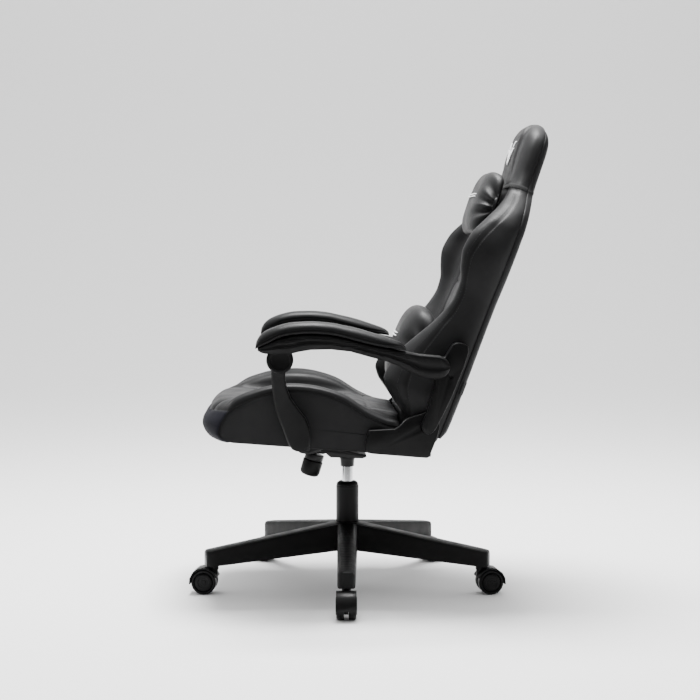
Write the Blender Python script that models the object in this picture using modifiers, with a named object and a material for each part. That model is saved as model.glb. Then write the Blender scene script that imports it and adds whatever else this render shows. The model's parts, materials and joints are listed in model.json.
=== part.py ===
"""Racing-style gaming chair with a linked, reclining backrest.

The chair faces -Y, its height runs along +Z and the sitter's left is +X.
It is modelled about the gas lift's axis and then moved as a whole, so that the
middle of its footprint is the origin. All lengths are in metres.
"""

import math

import bmesh
import bpy
import numpy as np
from mathutils import Matrix, Vector

# ---------------------------------------------------------------- driving dimensions
GAP = 0.0003
FOOTPRINT_MIDDLE = (0.03115, 0.04408)

# Five-star base and castors
BASE_TURN = math.radians(-2.45)
LEG_COUNT = 5
STEM_CIRCLE_R = 0.340
LEG_END_R = 0.362
LEG_END_TOP = 0.107
LEG_END_UNDER = 0.0685
HUB_TOP = 0.159
HUB_UNDER = 0.090
HUB_R = 0.037
CASTOR_TRAIL = 0.024
CASTOR_SWIVELS = (0.0, 28.0, -34.0, 31.0, -22.0)
WHEEL_R = 0.0305
WHEEL_WIDTH = 0.0175
WEB_HALF = 0.0048
HOOD_HALF = 0.0232
AXLE_R = 0.004
STEM_R = 0.0055

# Gas lift
OUTER_TUBE_R = 0.025
SLEEVE_R = 0.028
SLEEVE_TOP = 0.2505
TUBE_TOP = 0.2535
CYLINDER_R = 0.0135
CYLINDER_LOW = 0.113
CYLINDER_HIGH = 0.322
ROD_R = 0.005

# Seat, which is pitched back a little: its underside is z = PITCH_Z - PITCH * y
PITCH = 0.0769
PITCH_Z = 0.367
PAN_T = 0.012
PAN_FRONT = -0.284
SEAT_HALF = 0.250
TILT_AXIS = (-0.100, 0.352)

# Recliner: the backrest turns about HINGE, a line along X
HINGE = (0.175, 0.430)
LEAN = math.radians(20.5)
BACK_R = 0.057

# Armrest linkage, as (y, z)
REAR_PIVOT = (0.198, 0.568)
FRONT_PIVOT = (-0.165, 0.586)
FOOT_PIVOT = (-0.118, 0.398)
ARM_X = 0.300

# Layers beside the seat, from the seat's side outwards
SEAT_BRACKET_X = (0.2506, 0.2546)
SEAT_COVER_X = (0.2506, 0.2685)
BACK_BRACKET_X = (0.2690, 0.2730)
BACK_COVER_X = (0.2515, 0.2850)

# ---------------------------------------------------------------- scene and materials
for old in list(bpy.data.objects):
    bpy.data.objects.remove(old, do_unlink=True)

chair = bpy.data.collections.new("Gaming chair")
bpy.context.scene.collection.children.link(chair)
cutters = bpy.data.collections.new("Cutters")
cutters.hide_render = True
bpy.context.scene.collection.children.link(cutters)


def material(name, colour, roughness, metallic=0.0):
    made = bpy.data.materials.new(name)
    made.use_nodes = True
    shader = made.node_tree.nodes["Principled BSDF"]
    shader.inputs["Base Color"].default_value = (*colour, 1.0)
    shader.inputs["Roughness"].default_value = roughness
    shader.inputs["Metallic"].default_value = metallic
    return made


LEATHER = material("Black faux leather", (0.018, 0.018, 0.019), 0.42)
PANEL_LEATHER = material("Black faux leather, rear", (0.016, 0.016, 0.017), 0.48)
PILLOW_LEATHER = material("Black faux leather, pillows", (0.017, 0.017, 0.018), 0.40)
NYLON = material("Black nylon", (0.014, 0.014, 0.015), 0.45)
SHELL_PLASTIC = material("Black plastic covers", (0.013, 0.013, 0.014), 0.38)
WHEEL_PLASTIC = material("Black castor plastic", (0.010, 0.010, 0.011), 0.33)
BLACK_STEEL = material("Black painted steel", (0.012, 0.012, 0.013), 0.40, 0.2)
CHROME = material("Chrome", (0.78, 0.79, 0.80), 0.08, 1.0)
BRIGHT_STEEL = material("Bright steel", (0.55, 0.56, 0.57), 0.30, 1.0)
BOARD = material("Seat board", (0.020, 0.019, 0.018), 0.70)
WEBBING = material("Black webbing", (0.012, 0.012, 0.013), 0.80)


# ---------------------------------------------------------------- modelling helpers
def place(name, mesh, mat, collection=chair):
    made = bpy.data.objects.new(name, mesh)
    collection.objects.link(made)
    if mat is not None:
        mesh.materials.clear()
        mesh.materials.append(mat)
    if collection is cutters:
        made.hide_render = True
        made.display_type = "WIRE"
    return made


def mesh_from(name, verts, faces):
    """A mesh from points and faces, with its normals turned outwards."""
    shape = bmesh.new()
    points = [shape.verts.new(v) for v in verts]
    for face in faces:
        shape.faces.new([points[i] for i in face])
    bmesh.ops.recalc_face_normals(shape, faces=shape.faces)
    mesh = bpy.data.meshes.new(name)
    shape.to_mesh(mesh)
    shape.free()
    return mesh


def loft(name, rings, mat, collection=chair):
    """A closed skin over rings of equally many points, with a flat cap at each end."""
    count = len(rings[0])
    verts = [tuple(point) for ring in rings for point in ring]
    faces = []
    for row in range(len(rings) - 1):
        low = row * count
        for i in range(count):
            j = (i + 1) % count
            faces.append((low + i, low + j, low + count + j, low + count + i))
    faces.append(tuple(range(count)))
    last = (len(rings) - 1) * count
    faces.append(tuple(range(last, last + count)))
    return place(name, mesh_from(name, verts, faces), mat, collection)


def frame_for(axis):
    """The turn that takes local +Z to an axis."""
    return Vector((0, 0, 1)).rotation_difference(Vector(axis).normalized()).to_matrix().to_4x4()


def turned(name, profile, steps, mat, at=(0, 0, 0), axis=(0, 0, 1), closed=False, collection=chair):
    """A turned piece: (radius, height) pairs, outer side from top to bottom, spun by a Screw."""
    mesh = bpy.data.meshes.new(name)
    edges = [(i, i + 1) for i in range(len(profile) - 1)]
    if closed:
        edges.append((len(profile) - 1, 0))
    mesh.from_pydata([(r, 0.0, z) for r, z in profile], edges, [])
    made = place(name, mesh, mat, collection)
    spin = made.modifiers.new("Spin", "SCREW")
    spin.axis = "Z"
    spin.steps = steps
    spin.render_steps = steps
    spin.use_merge_vertices = True
    spin.merge_threshold = 0.00005
    spin.use_smooth_shade = False
    made.matrix_world = Matrix.Translation(at) @ frame_for(axis)
    return made


def slab(name, outline, x_low, x_high, mat, bevel=0.0, segments=2, collection=chair):
    """An outline in the YZ plane given thickness along X, with its edges softened."""
    shape = bmesh.new()
    face = shape.faces.new([shape.verts.new((x_low, y, z)) for y, z in outline])
    grown = bmesh.ops.extrude_face_region(shape, geom=[face])
    moved = [g for g in grown["geom"] if isinstance(g, bmesh.types.BMVert)]
    bmesh.ops.translate(shape, verts=moved, vec=(x_high - x_low, 0, 0))
    bmesh.ops.recalc_face_normals(shape, faces=shape.faces)
    mesh = bpy.data.meshes.new(name)
    shape.to_mesh(mesh)
    shape.free()
    made = place(name, mesh, mat, collection)
    if bevel:
        soften(made, bevel, segments)
    return made


def block(name, low, high, mat=None, collection=cutters):
    outline = [(low[1], low[2]), (high[1], low[2]), (high[1], high[2]), (low[1], high[2])]
    return slab(name, outline, low[0], high[0], mat, collection=collection)


def soften(made, width, segments=2, angle=30.0):
    edge = made.modifiers.new("Soft edges", "BEVEL")
    edge.width = width
    edge.segments = segments
    edge.limit_method = "ANGLE"
    edge.angle_limit = math.radians(angle)
    edge.use_clamp_overlap = True
    return edge


def combine(made, others, operation="DIFFERENCE"):
    for other in others:
        step = made.modifiers.new(operation.title(), "BOOLEAN")
        step.operation = operation
        step.solver = "EXACT"
        step.object = other


def pin(name, radius, x_low, x_high, y, z, steps=24, mat=None, collection=cutters):
    """A plain round bar along X."""
    profile = [(0.0, x_high), (radius, x_high), (radius, x_low), (0.0, x_low)]
    return turned(name, profile, steps, mat, (0, y, z), (1, 0, 0), collection=collection)


def baked(name, source, mat, world=None):
    """A copy of a piece with its modifiers carried out, for pieces that are used several times."""
    bpy.context.view_layer.update()
    graph = bpy.context.evaluated_depsgraph_get()
    mesh = bpy.data.meshes.new_from_object(source.evaluated_get(graph))
    mesh.name = name
    made = place(name, mesh, mat)
    made.matrix_world = source.matrix_world if world is None else world
    return made


def move_origin(made, point):
    """Puts an object's origin on its joint's axis and leaves its shape where it is."""
    made.data.transform(Matrix.Translation(-Vector(point)))
    made.location = Vector(point)


def sweep_value(stations, position):
    return float(np.interp(position, [s[0] for s in stations], [s[1] for s in stations]))


def seat_under(y):
    return PITCH_Z - PITCH * y


def arc(centre, radius, start, end, count):
    """Points of an arc in the YZ plane; angles in degrees from +Y towards +Z."""
    angles = [math.radians(start + (end - start) * i / (count - 1)) for i in range(count)]
    return [(centre[0] + radius * math.cos(a), centre[1] + radius * math.sin(a)) for a in angles]


# ---------------------------------------------------------------- five-star base
def leg_ring(r, half, top, under):
    """A leg's section across its length: flat sides, a rounded top."""
    soft = min(0.009, half * 0.45)
    return [
        (r, -half, under),
        (r, half, under),
        (r, half, top - soft),
        (r, half - soft * 0.3, top - soft * 0.3),
        (r, half - soft, top),
        (r, -half + soft, top),
        (r, -half + soft * 0.3, top - soft * 0.3),
        (r, -half, top - soft),
    ]


def leg_heights(r):
    t = (r - HUB_R) / (LEG_END_R - HUB_R)
    top = HUB_TOP - 0.002 + (LEG_END_TOP - HUB_TOP + 0.002) * t
    under = HUB_UNDER + (LEG_END_UNDER - HUB_UNDER) * t
    return top, under


def build_base():
    hub = [
        (OUTER_TUBE_R + 0.0004, HUB_TOP),
        (HUB_R - 0.006, HUB_TOP),
        (HUB_R - 0.001, HUB_TOP - 0.004),
        (HUB_R, HUB_UNDER),
        (OUTER_TUBE_R + 0.0004, HUB_UNDER),
    ]
    base = turned("base_star", hub, 32, NYLON, closed=True)
    legs = []
    hollows = []
    sockets = []
    for i in range(LEG_COUNT):
        rings = []
        for r, half in ((0.030, 0.0255), (0.15, 0.0235), (0.33, 0.0212), (0.352, 0.0200), (0.359, 0.0165)):
            top, under = leg_heights(r)
            rings.append(leg_ring(r, half, top, under))
        top, under = leg_heights(LEG_END_R)
        rings.append(leg_ring(LEG_END_R, 0.0125, top - 0.003, under + 0.002))
        leg = loft(f"leg_{i}", rings, None, cutters)
        hollow_rings = []
        for r, half in ((0.046, 0.0190), (0.300, 0.0160)):
            top, under = leg_heights(r)
            corners = ((-half, under - 0.01), (half, under - 0.01), (half - 0.003, top - 0.008))
            ring = [(r, y, z) for y, z in corners]
            ring.append((r, -half + 0.003, top - 0.008))
            hollow_rings.append(ring)
        hollow = loft(f"leg_hollow_{i}", hollow_rings, None, cutters)
        socket = turned(
            f"stem_socket_{i}",
            [(0.0, 0.094), (STEM_R + 0.0003, 0.094), (STEM_R + 0.0003, 0.050), (0.0, 0.050)],
            16, None, (STEM_CIRCLE_R, 0, 0), collection=cutters,
        )
        turn = Matrix.Rotation(BASE_TURN + i * 2 * math.pi / LEG_COUNT, 4, "Z")
        for piece in (leg, hollow, socket):
            piece.matrix_world = turn @ piece.matrix_world
        legs.append(leg)
        hollows.append(hollow)
        sockets.append(socket)
    combine(base, legs, "UNION")
    bore = turned(
        "hub_bore",
        [(0.0, 0.2), (OUTER_TUBE_R + 0.0004, 0.2), (OUTER_TUBE_R + 0.0004, 0.05), (0.0, 0.05)],
        32, None, collection=cutters,
    )
    combine(base, [bore] + hollows + sockets)
    return base


# ---------------------------------------------------------------- castors
def build_castor_patterns():
    """One castor at the origin: it swivels about Z and trails along +X. Its axle lies along Y."""
    wheel_z = WHEEL_R
    top = LEG_END_UNDER - 0.0006
    hood_outline = []
    for i in range(8):
        a = math.radians(-8 + 168 * i / 7)
        hood_outline.append((CASTOR_TRAIL + 0.0355 * math.cos(a), wheel_z + 0.0355 * math.sin(a)))
    for i in range(8):
        a = math.radians(160 - 168 * i / 7)
        hood_outline.append((CASTOR_TRAIL + 0.0325 * math.cos(a), wheel_z + 0.0325 * math.sin(a)))
    turn_to_side = Matrix.Rotation(math.radians(-90), 4, "Z")
    hood = slab("castor_hood", hood_outline, -HOOD_HALF, HOOD_HALF, None, collection=cutters)
    web_outline = [
        (-0.0080, 0.0450), (-0.0080, 0.0660), (0.0080, 0.0660), (0.0180, 0.0655),
        (0.0330, 0.0640), (0.0470, 0.0570), (0.0560, 0.0440), (0.0575, 0.0300),
        (0.0480, 0.0170), (0.0300, 0.0120), (0.0140, 0.0170), (0.0020, 0.0300),
    ]
    web = slab("castor_web", web_outline, -WEB_HALF, WEB_HALF, None, collection=cutters)
    for piece in (hood, web):
        piece.matrix_world = turn_to_side
        piece.data.transform(Matrix.Diagonal((-1, 1, 1, 1)))
        piece.data.flip_normals()
    stem_profile = [
        (0.0, 0.0925), (0.0045, 0.0925), (STEM_R, 0.0915), (STEM_R, top),
        (0.0105, top), (0.0105, 0.0600), (0.0, 0.0600),
    ]
    body = turned("castor_body_pattern", stem_profile, 16, None, collection=cutters)
    combine(body, [web, hood], "UNION")
    axle_hole = turned(
        "castor_axle_hole",
        [(0.0, 0.03), (AXLE_R + 0.0001, 0.03), (AXLE_R + 0.0001, -0.03), (0.0, -0.03)],
        12, None, (CASTOR_TRAIL, 0, wheel_z), (0, 1, 0), collection=cutters,
    )
    combine(body, [axle_hole])
    half = WHEEL_WIDTH / 2
    wheel_profile = [
        (AXLE_R + 0.0002, half - 0.0010), (0.0090, half - 0.0010), (0.0105, half - 0.0030),
        (0.0225, half - 0.0030), (0.0245, half), (WHEEL_R - 0.0025, half),
        (WHEEL_R, half - 0.0025), (WHEEL_R, -half), (AXLE_R + 0.0002, -half),
    ]
    wheel = turned("castor_wheel_pattern", wheel_profile, 24, None, closed=True, collection=cutters)
    axle = turned(
        "castor_axle_pattern",
        [(0.0, 0.0205), (AXLE_R, 0.0205), (AXLE_R, -0.0205), (0.0, -0.0205)],
        12, None, collection=cutters,
    )
    return body, wheel, axle


def build_castors():
    body, wheel, axle = build_castor_patterns()
    side = WEB_HALF + 0.0004 + WHEEL_WIDTH / 2
    along_y = frame_for((0, 1, 0))
    along_minus_y = frame_for((0, -1, 0))
    for i in range(LEG_COUNT):
        leg_angle = BASE_TURN + i * 2 * math.pi / LEG_COUNT
        at = Vector((STEM_CIRCLE_R * math.cos(leg_angle), STEM_CIRCLE_R * math.sin(leg_angle), 0))
        swivel = leg_angle + math.radians(CASTOR_SWIVELS[i])
        world = Matrix.Translation(at) @ Matrix.Rotation(swivel, 4, "Z")
        hub = world @ Matrix.Translation((CASTOR_TRAIL, 0, WHEEL_R))
        number = i + 1
        baked(f"castor_{number}_body", body, WHEEL_PLASTIC, world)
        baked(f"castor_{number}_axle", axle, BRIGHT_STEEL, hub @ along_y)
        left = hub @ Matrix.Translation((0, side, 0)) @ along_y
        right = hub @ Matrix.Translation((0, -side, 0)) @ along_minus_y
        baked(f"castor_{number}_wheel_a", wheel, WHEEL_PLASTIC, left)
        baked(f"castor_{number}_wheel_b", wheel, WHEEL_PLASTIC, right)


# ---------------------------------------------------------------- gas lift
def build_gas_lift():
    wall = 0.0018
    bore = CYLINDER_R + 0.0004
    tube = [
        (OUTER_TUBE_R - wall, TUBE_TOP), (OUTER_TUBE_R, TUBE_TOP), (OUTER_TUBE_R, 0.0800),
        (ROD_R + 0.0002, 0.0800), (ROD_R + 0.0002, 0.0830), (OUTER_TUBE_R - wall, 0.0830),
    ]
    turned("gas_lift_outer_tube", tube, 32, BLACK_STEEL, closed=True)
    bush = [
        (bore, TUBE_TOP - 0.0005), (OUTER_TUBE_R - wall - GAP, TUBE_TOP - 0.0005),
        (OUTER_TUBE_R - wall - GAP, 0.190), (bore, 0.190),
    ]
    turned("guide_bushing", bush, 32, NYLON, closed=True)
    sleeve = [
        (OUTER_TUBE_R + GAP, SLEEVE_TOP), (SLEEVE_R - 0.0008, SLEEVE_TOP),
        (SLEEVE_R, SLEEVE_TOP - 0.0010), (SLEEVE_R, HUB_TOP + GAP),
        (OUTER_TUBE_R + GAP, HUB_TOP + GAP),
    ]
    turned("column_sleeve", sleeve, 40, SHELL_PLASTIC, closed=True)
    collar = [
        (bore, 0.2605), (0.0205, 0.2605), (0.0245, 0.2580), (0.0270, 0.2545),
        (0.0270, SLEEVE_TOP + GAP), (OUTER_TUBE_R + GAP, SLEEVE_TOP + GAP),
        (OUTER_TUBE_R + GAP, TUBE_TOP + GAP), (bore, TUBE_TOP + GAP),
    ]
    turned("column_collar", collar, 32, SHELL_PLASTIC, closed=True)
    rod = [(0.0, 0.262), (ROD_R, 0.262), (ROD_R, 0.0780), (0.0, 0.0780)]
    turned("piston_rod", rod, 16, BRIGHT_STEEL)
    bored = ROD_R + 0.0003
    cylinder = [
        (0.0, CYLINDER_HIGH), (CYLINDER_R - 0.0012, CYLINDER_HIGH), (CYLINDER_R, 0.3185),
        (CYLINDER_R, CYLINDER_LOW), (bored, CYLINDER_LOW), (bored, 0.304), (0.0, 0.304),
    ]
    turned("gas_cylinder", cylinder, 32, CHROME)


# ---------------------------------------------------------------- tilt mechanism
KNOB_AXIS = Vector((0.0, -0.286, -0.958)).normalized()
KNOB_TOP = Vector((0.0, -0.0790, 0.3330))


def build_mechanism():
    side = [
        (-0.128, 0.3450), (-0.056, 0.3365), (-0.043, 0.3255), (0.036, 0.3225),
        (0.046, 0.3265), (0.046, 0.3305), (-0.050, 0.3530), (-0.128, 0.3615),
    ]
    housing = slab("mechanism_housing", side, -0.047, 0.047, BLACK_STEEL, 0.0015, 1)
    neck = turned(
        "mechanism_neck",
        [(0.0, 0.326), (0.0215, 0.326), (0.0175, 0.3125), (0.0168, 0.2980), (0.0, 0.2980)],
        32, None, collection=cutters,
    )
    combine(housing, [neck], "UNION")
    socket = CYLINDER_R + 0.0002
    bore = turned(
        "mechanism_socket",
        [(0.0, CYLINDER_HIGH + 0.0004), (socket, CYLINDER_HIGH + 0.0004), (socket, 0.28), (0.0, 0.28)],
        32, None, collection=cutters,
    )
    tilt_hole = pin("tilt_hole", 0.00620, -0.06, 0.06, *TILT_AXIS, steps=16)
    bolt_hole = turned(
        "bolt_hole",
        [(0.0, 0.013), (0.0043, 0.013), (0.0043, -0.02), (0.0, -0.02)],
        12, None, KNOB_TOP, -KNOB_AXIS, collection=cutters,
    )
    combine(housing, [bore, tilt_hole, bolt_hole])
    turned(
        "tilt_pin",
        [(0.0, 0.0890), (0.0060, 0.0890), (0.0060, -0.0890), (0.0, -0.0890)],
        16, BRIGHT_STEEL, (0, *TILT_AXIS), (1, 0, 0),
    )
    cup = [(0.0225, -0.0035), (0.0235, -0.0045), (0.0235, -0.0190), (0.0225, -0.0200),
           (0.0052, -0.0200), (0.0052, -0.0035)]
    turned("spring_cup", cup, 24, BLACK_STEEL, KNOB_TOP, -KNOB_AXIS, closed=True)
    bolt = [(0.0, 0.0110), (0.0040, 0.0110), (0.0040, -0.0300), (0.0, -0.0300)]
    turned("tension_bolt", bolt, 12, BRIGHT_STEEL, KNOB_TOP, -KNOB_AXIS)
    knob = [
        (0.0, -0.0304), (0.0042, -0.0304), (0.0042, -0.0204), (0.0235, -0.0204), (0.0250, -0.0220),
        (0.0246, -0.0500), (0.0225, -0.0560), (0.0170, -0.0595), (0.0, -0.0610),
    ]
    turned("tension_knob", knob, 32, SHELL_PLASTIC, KNOB_TOP, -KNOB_AXIS)
    build_height_lever()


def build_height_lever():
    """The lever under the sitter's right: a bent rod with a flat paddle at its end."""
    rod = bpy.data.curves.new("height_lever_rod", "CURVE")
    rod.dimensions = "3D"
    rod.bevel_depth = 0.004
    rod.bevel_resolution = 3
    rod.use_fill_caps = True
    line = rod.splines.new("POLY")
    path = ((-0.0490, 0.0), (-0.1000, 0.0), (-0.1450, -0.006), (-0.2150, -0.010))
    line.points.add(len(path) - 1)
    for point, (x, rise) in zip(line.points, path):
        point.co = (x, 0.012, 0.3290 + rise, 1.0)
    guide = place("height_lever_rod", rod, None, cutters)
    bpy.context.view_layer.update()
    graph = bpy.context.evaluated_depsgraph_get()
    mesh = bpy.data.meshes.new_from_object(guide.evaluated_get(graph))
    bar = place("height_lever_bar", mesh, None, cutters)
    sections = ((-0.190, 0.0075, 0.0052), (-0.205, 0.0130, 0.0058), (-0.255, 0.0150, 0.0050),
                (-0.272, 0.0120, 0.0042), (-0.279, 0.0060, 0.0028))
    rings = []
    for x, half, thick in sections:
        z = 0.3290 - 0.0095
        rings.append([
            (x, 0.012 - half, z - thick * 0.4), (x, 0.012 - half * 0.7, z - thick),
            (x, 0.012 + half * 0.7, z - thick), (x, 0.012 + half, z - thick * 0.4),
            (x, 0.012 + half, z + thick * 0.4), (x, 0.012 + half * 0.7, z + thick),
            (x, 0.012 - half * 0.7, z + thick), (x, 0.012 - half, z + thick * 0.4),
        ])
    lever = loft("height_lever", rings, SHELL_PLASTIC)
    combine(lever, [bar], "UNION")
    return lever


# ---------------------------------------------------------------- seat
def build_seat_plate():
    """The pressed plate under the seat, with two ears down to the tilt pin."""
    def on_slope(y, below):
        return (y, seat_under(y) - below)

    outline = [on_slope(-0.150, 0.0056), on_slope(0.110, 0.0056),
               on_slope(0.110, GAP), on_slope(-0.150, GAP)]
    plate = slab("seat_plate", outline, -0.105, 0.105, BLACK_STEEL)
    ears = []
    for side in (-1, 1):
        ear = [
            on_slope(-0.145, 0.003), on_slope(-0.030, 0.003), (-0.052, 0.3560),
            (-0.080, 0.3420), (-0.100, 0.3385), (-0.118, 0.3420), (-0.130, 0.3520),
        ]
        low, high = sorted((side * 0.0800, side * 0.0845))
        ears.append(slab(f"seat_plate_ear_{side}", ear, low, high, None, collection=cutters))
    combine(plate, ears, "UNION")
    combine(plate, [pin("seat_plate_hole", 0.00620, -0.12, 0.12, *TILT_AXIS, steps=16)])
    return plate


def build_seat_pan():
    outline = [
        (-0.278, seat_under(-0.278)), (0.184, seat_under(0.184)),
        (0.187, seat_under(0.187) + 0.004), (0.187, seat_under(0.187) + PAN_T),
        (PAN_FRONT, seat_under(PAN_FRONT) + PAN_T), (PAN_FRONT, seat_under(PAN_FRONT) + 0.004),
    ]
    return slab("seat_pan", outline, -0.244, 0.244, BOARD)


# Seat top: height over the column's origin at each y, for the middle, the bolster's crest and the side seam
SEAT_Y = (-0.270, -0.220, -0.150, -0.080, -0.020, 0.040, 0.085)
SEAT_MIDDLE = (0.492, 0.489, 0.485, 0.481, 0.476, 0.471, 0.465)
SEAT_CREST = (0.506, 0.516, 0.521, 0.516, 0.498, 0.462, 0.444)
SEAT_SEAM = (0.479, 0.499, 0.511, 0.500, 0.478, 0.443, 0.424)
NOSE_MIDDLE = ((-0.311, 0.479), (-0.338, 0.453), (-0.353, 0.422), (-0.341, 0.400), (-0.312, 0.384))
NOSE_SIDE = ((-0.283, 0.468), (-0.296, 0.447), (-0.306, 0.424), (-0.308, 0.408), (-0.300, 0.398))


def seat_ring(x, middle, crest, seam):
    """The seat's outline in a plane of constant x: weights blend its three top lines."""
    edge = (abs(x) / SEAT_HALF) ** 2.6
    ring = [(x, 0.186, seat_under(0.186) + PAN_T + GAP), (x, 0.0, seat_under(0.0) + PAN_T + GAP)]
    ring.append((x, PAN_FRONT - 0.0010, seat_under(PAN_FRONT) + PAN_T + GAP))
    ring.append((x, PAN_FRONT - 0.0012, 0.379 + 0.0125 * edge))
    for inner, outer in zip(reversed(NOSE_MIDDLE), reversed(NOSE_SIDE)):
        ring.append((x, inner[0] + (outer[0] - inner[0]) * edge, inner[1] + (outer[1] - inner[1]) * edge))
    for y, a, b, c in zip(SEAT_Y, SEAT_MIDDLE, SEAT_CREST, SEAT_SEAM):
        ring.append((x, y, a * middle + b * crest + c * seam))
    end = SEAT_MIDDLE[-1] * middle + SEAT_CREST[-1] * crest + SEAT_SEAM[-1] * seam - 0.008
    reach = BACK_R + 0.0065
    start = 180 - math.degrees(math.asin((end - HINGE[1]) / reach))
    for y, z in arc(HINGE, reach, start, 256, 6):
        ring.append((x, y, z))
    return ring


def build_seat_cushion():
    stations = (
        (0.0, 1.0, 0.0, 0.0), (0.080, 1.0, 0.0, 0.0), (0.140, 0.97, 0.03, 0.0),
        (0.175, 0.62, 0.38, 0.0), (0.205, 0.12, 0.88, 0.0), (0.225, 0.0, 1.0, 0.0),
        (0.242, 0.0, 0.55, 0.45), (SEAT_HALF, 0.0, 0.0, 1.0),
    )
    rings = [seat_ring(-x, *w) for x, *w in reversed(stations)]
    rings += [seat_ring(x, *w) for x, *w in stations[1:]]
    return loft("seat_cushion", rings, LEATHER)


# ---------------------------------------------------------------- backrest
# Stations up the backrest's slope, measured from the hinge along the lean
BACK_HALF = (
    (-0.05, 0.225), (0.0, 0.236), (0.07, 0.245), (0.20, 0.245), (0.30, 0.250), (0.38, 0.264),
    (0.44, 0.270), (0.49, 0.262), (0.54, 0.232), (0.585, 0.186), (0.63, 0.156), (0.70, 0.146),
    (0.74, 0.132), (0.760, 0.112), (0.769, 0.080),
)
BACK_MIDDLE = (
    (-0.05, 0.020), (-0.03, 0.045), (0.0, 0.0555), (0.03, 0.048), (0.07, 0.036), (0.12, 0.028),
    (0.20, 0.022), (0.30, 0.015), (0.40, 0.006), (0.50, -0.002), (0.56, -0.003), (0.62, 0.001),
    (0.68, 0.008), (0.72, 0.007), (0.745, -0.002), (0.760, -0.012), (0.769, -0.022),
)
BACK_CREST = (
    (-0.05, 0.020), (-0.03, 0.045), (0.0, 0.0555), (0.02, 0.080), (0.045, 0.111), (0.07, 0.125),
    (0.10, 0.122), (0.145, 0.110), (0.19, 0.087), (0.22, 0.071), (0.27, 0.049), (0.31, 0.041),
    (0.34, 0.043), (0.375, 0.055), (0.415, 0.064), (0.45, 0.059), (0.50, 0.036), (0.545, 0.013),
    (0.585, 0.002), (0.62, 0.001), (0.68, 0.005), (0.72, 0.003),
    (0.745, -0.006), (0.760, -0.015), (0.769, -0.024),
)
BACK_SEAM = (
    (-0.05, 0.010), (0.0, 0.045), (0.045, 0.085), (0.07, 0.098), (0.11, 0.100), (0.155, 0.086),
    (0.205, 0.063), (0.24, 0.048), (0.27, 0.034), (0.31, 0.029), (0.36, 0.042), (0.40, 0.050),
    (0.44, 0.042), (0.48, 0.024), (0.525, -0.001), (0.575, -0.016), (0.62, -0.012), (0.70, -0.008),
    (0.74, -0.016), (0.769, -0.027),
)
CREST_X = ((-0.05, 0.17), (0.10, 0.175), (0.22, 0.205), (0.30, 0.225), (0.44, 0.240), (0.49, 0.228),
           (0.54, 0.195), (0.585, 0.150), (0.63, 0.122), (0.70, 0.112), (0.74, 0.095), (0.769, 0.050))
BACK_REAR = ((-0.047, -0.032), (-0.022, -0.040), (0.63, -0.040), (0.72, -0.035), (0.762, -0.030))
BACK_STATIONS = (
    -0.047, -0.022, 0.0, 0.020, 0.045, 0.070, 0.100, 0.145, 0.190, 0.230, 0.270, 0.310, 0.345,
    0.380, 0.415, 0.450, 0.490, 0.525, 0.555, 0.585, 0.630, 0.680, 0.720, 0.745, 0.760, 0.769,
)
PANEL_STATIONS = (
    -0.022, 0.0, 0.07, 0.10, 0.24, 0.30, 0.38, 0.44, 0.49, 0.54, 0.585, 0.63, 0.68, 0.72, 0.75,
)


def back_point(x, up, out):
    """A point given up the backrest's slope from the hinge and out of its front."""
    y = HINGE[0] + up * math.sin(LEAN) - out * math.cos(LEAN)
    z = HINGE[1] + up * math.cos(LEAN) + out * math.sin(LEAN)
    return (x, y, z)


def back_side(up):
    """The cushion's section on the sitter's left, from the rear round to the front, as (x, out)."""
    half = sweep_value(BACK_HALF, up)
    middle = sweep_value(BACK_MIDDLE, up)
    crest = sweep_value(BACK_CREST, up)
    seam = sweep_value(BACK_SEAM, up)
    crest_x = sweep_value(CREST_X, up)
    rear = sweep_value(BACK_REAR, up)
    foot = crest_x * 0.72
    rise = crest - middle
    return [
        (half - 0.010, rear), (half, rear + 0.010), (half, seam - 0.008), (half - 0.003, seam),
        (half * 0.55 + crest_x * 0.45, crest * 0.75 + seam * 0.25), (crest_x, crest),
        (crest_x * 0.75 + foot * 0.25, middle + rise * 0.86),
        (crest_x * 0.4 + foot * 0.6, middle + rise * 0.28), (foot * 0.86, middle),
    ]


def back_ring(up):
    right = back_side(up)
    left = [(-x, out) for x, out in reversed(right)]
    front = (0.0, sweep_value(BACK_MIDDLE, up))
    return [back_point(x, up, out) for x, out in right + [front] + left]


def panel_side(up):
    """The rear panel's section on the sitter's left, from its front edge round to the middle."""
    half = sweep_value(BACK_HALF, up) - 0.002
    front = sweep_value(BACK_REAR, up) - GAP
    thick = 0.008 if up < -0.01 else 0.017 if up < 0.70 else 0.013 if up < 0.74 else 0.006
    rear = front - thick
    return [
        (half, front), (half, front - 0.004), (half - 0.012, rear + 0.002), (half - 0.030, rear),
        (0.0, rear - 0.001),
    ]


def build_back():
    cushion = loft("back_cushion", [back_ring(up) for up in BACK_STATIONS], LEATHER)
    pocket = []
    for up in (0.030, 0.560):
        half = 0.2125
        ring = [back_point(x, up, out) for x, out in
                ((-half, -0.060), (half, -0.060), (half, -0.0195), (-half, -0.0195))]
        pocket.append(ring)
    combine(cushion, [loft("frame_pocket", pocket, None, cutters)])

    rings = []
    for up in PANEL_STATIONS:
        right = panel_side(up)
        left = [(-x, out) for x, out in reversed(right[:-1])]
        rings.append([back_point(x, up, out) for x, out in right + left])
    loft("back_rear_panel", rings, PANEL_LEATHER)
    build_back_frame()


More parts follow.
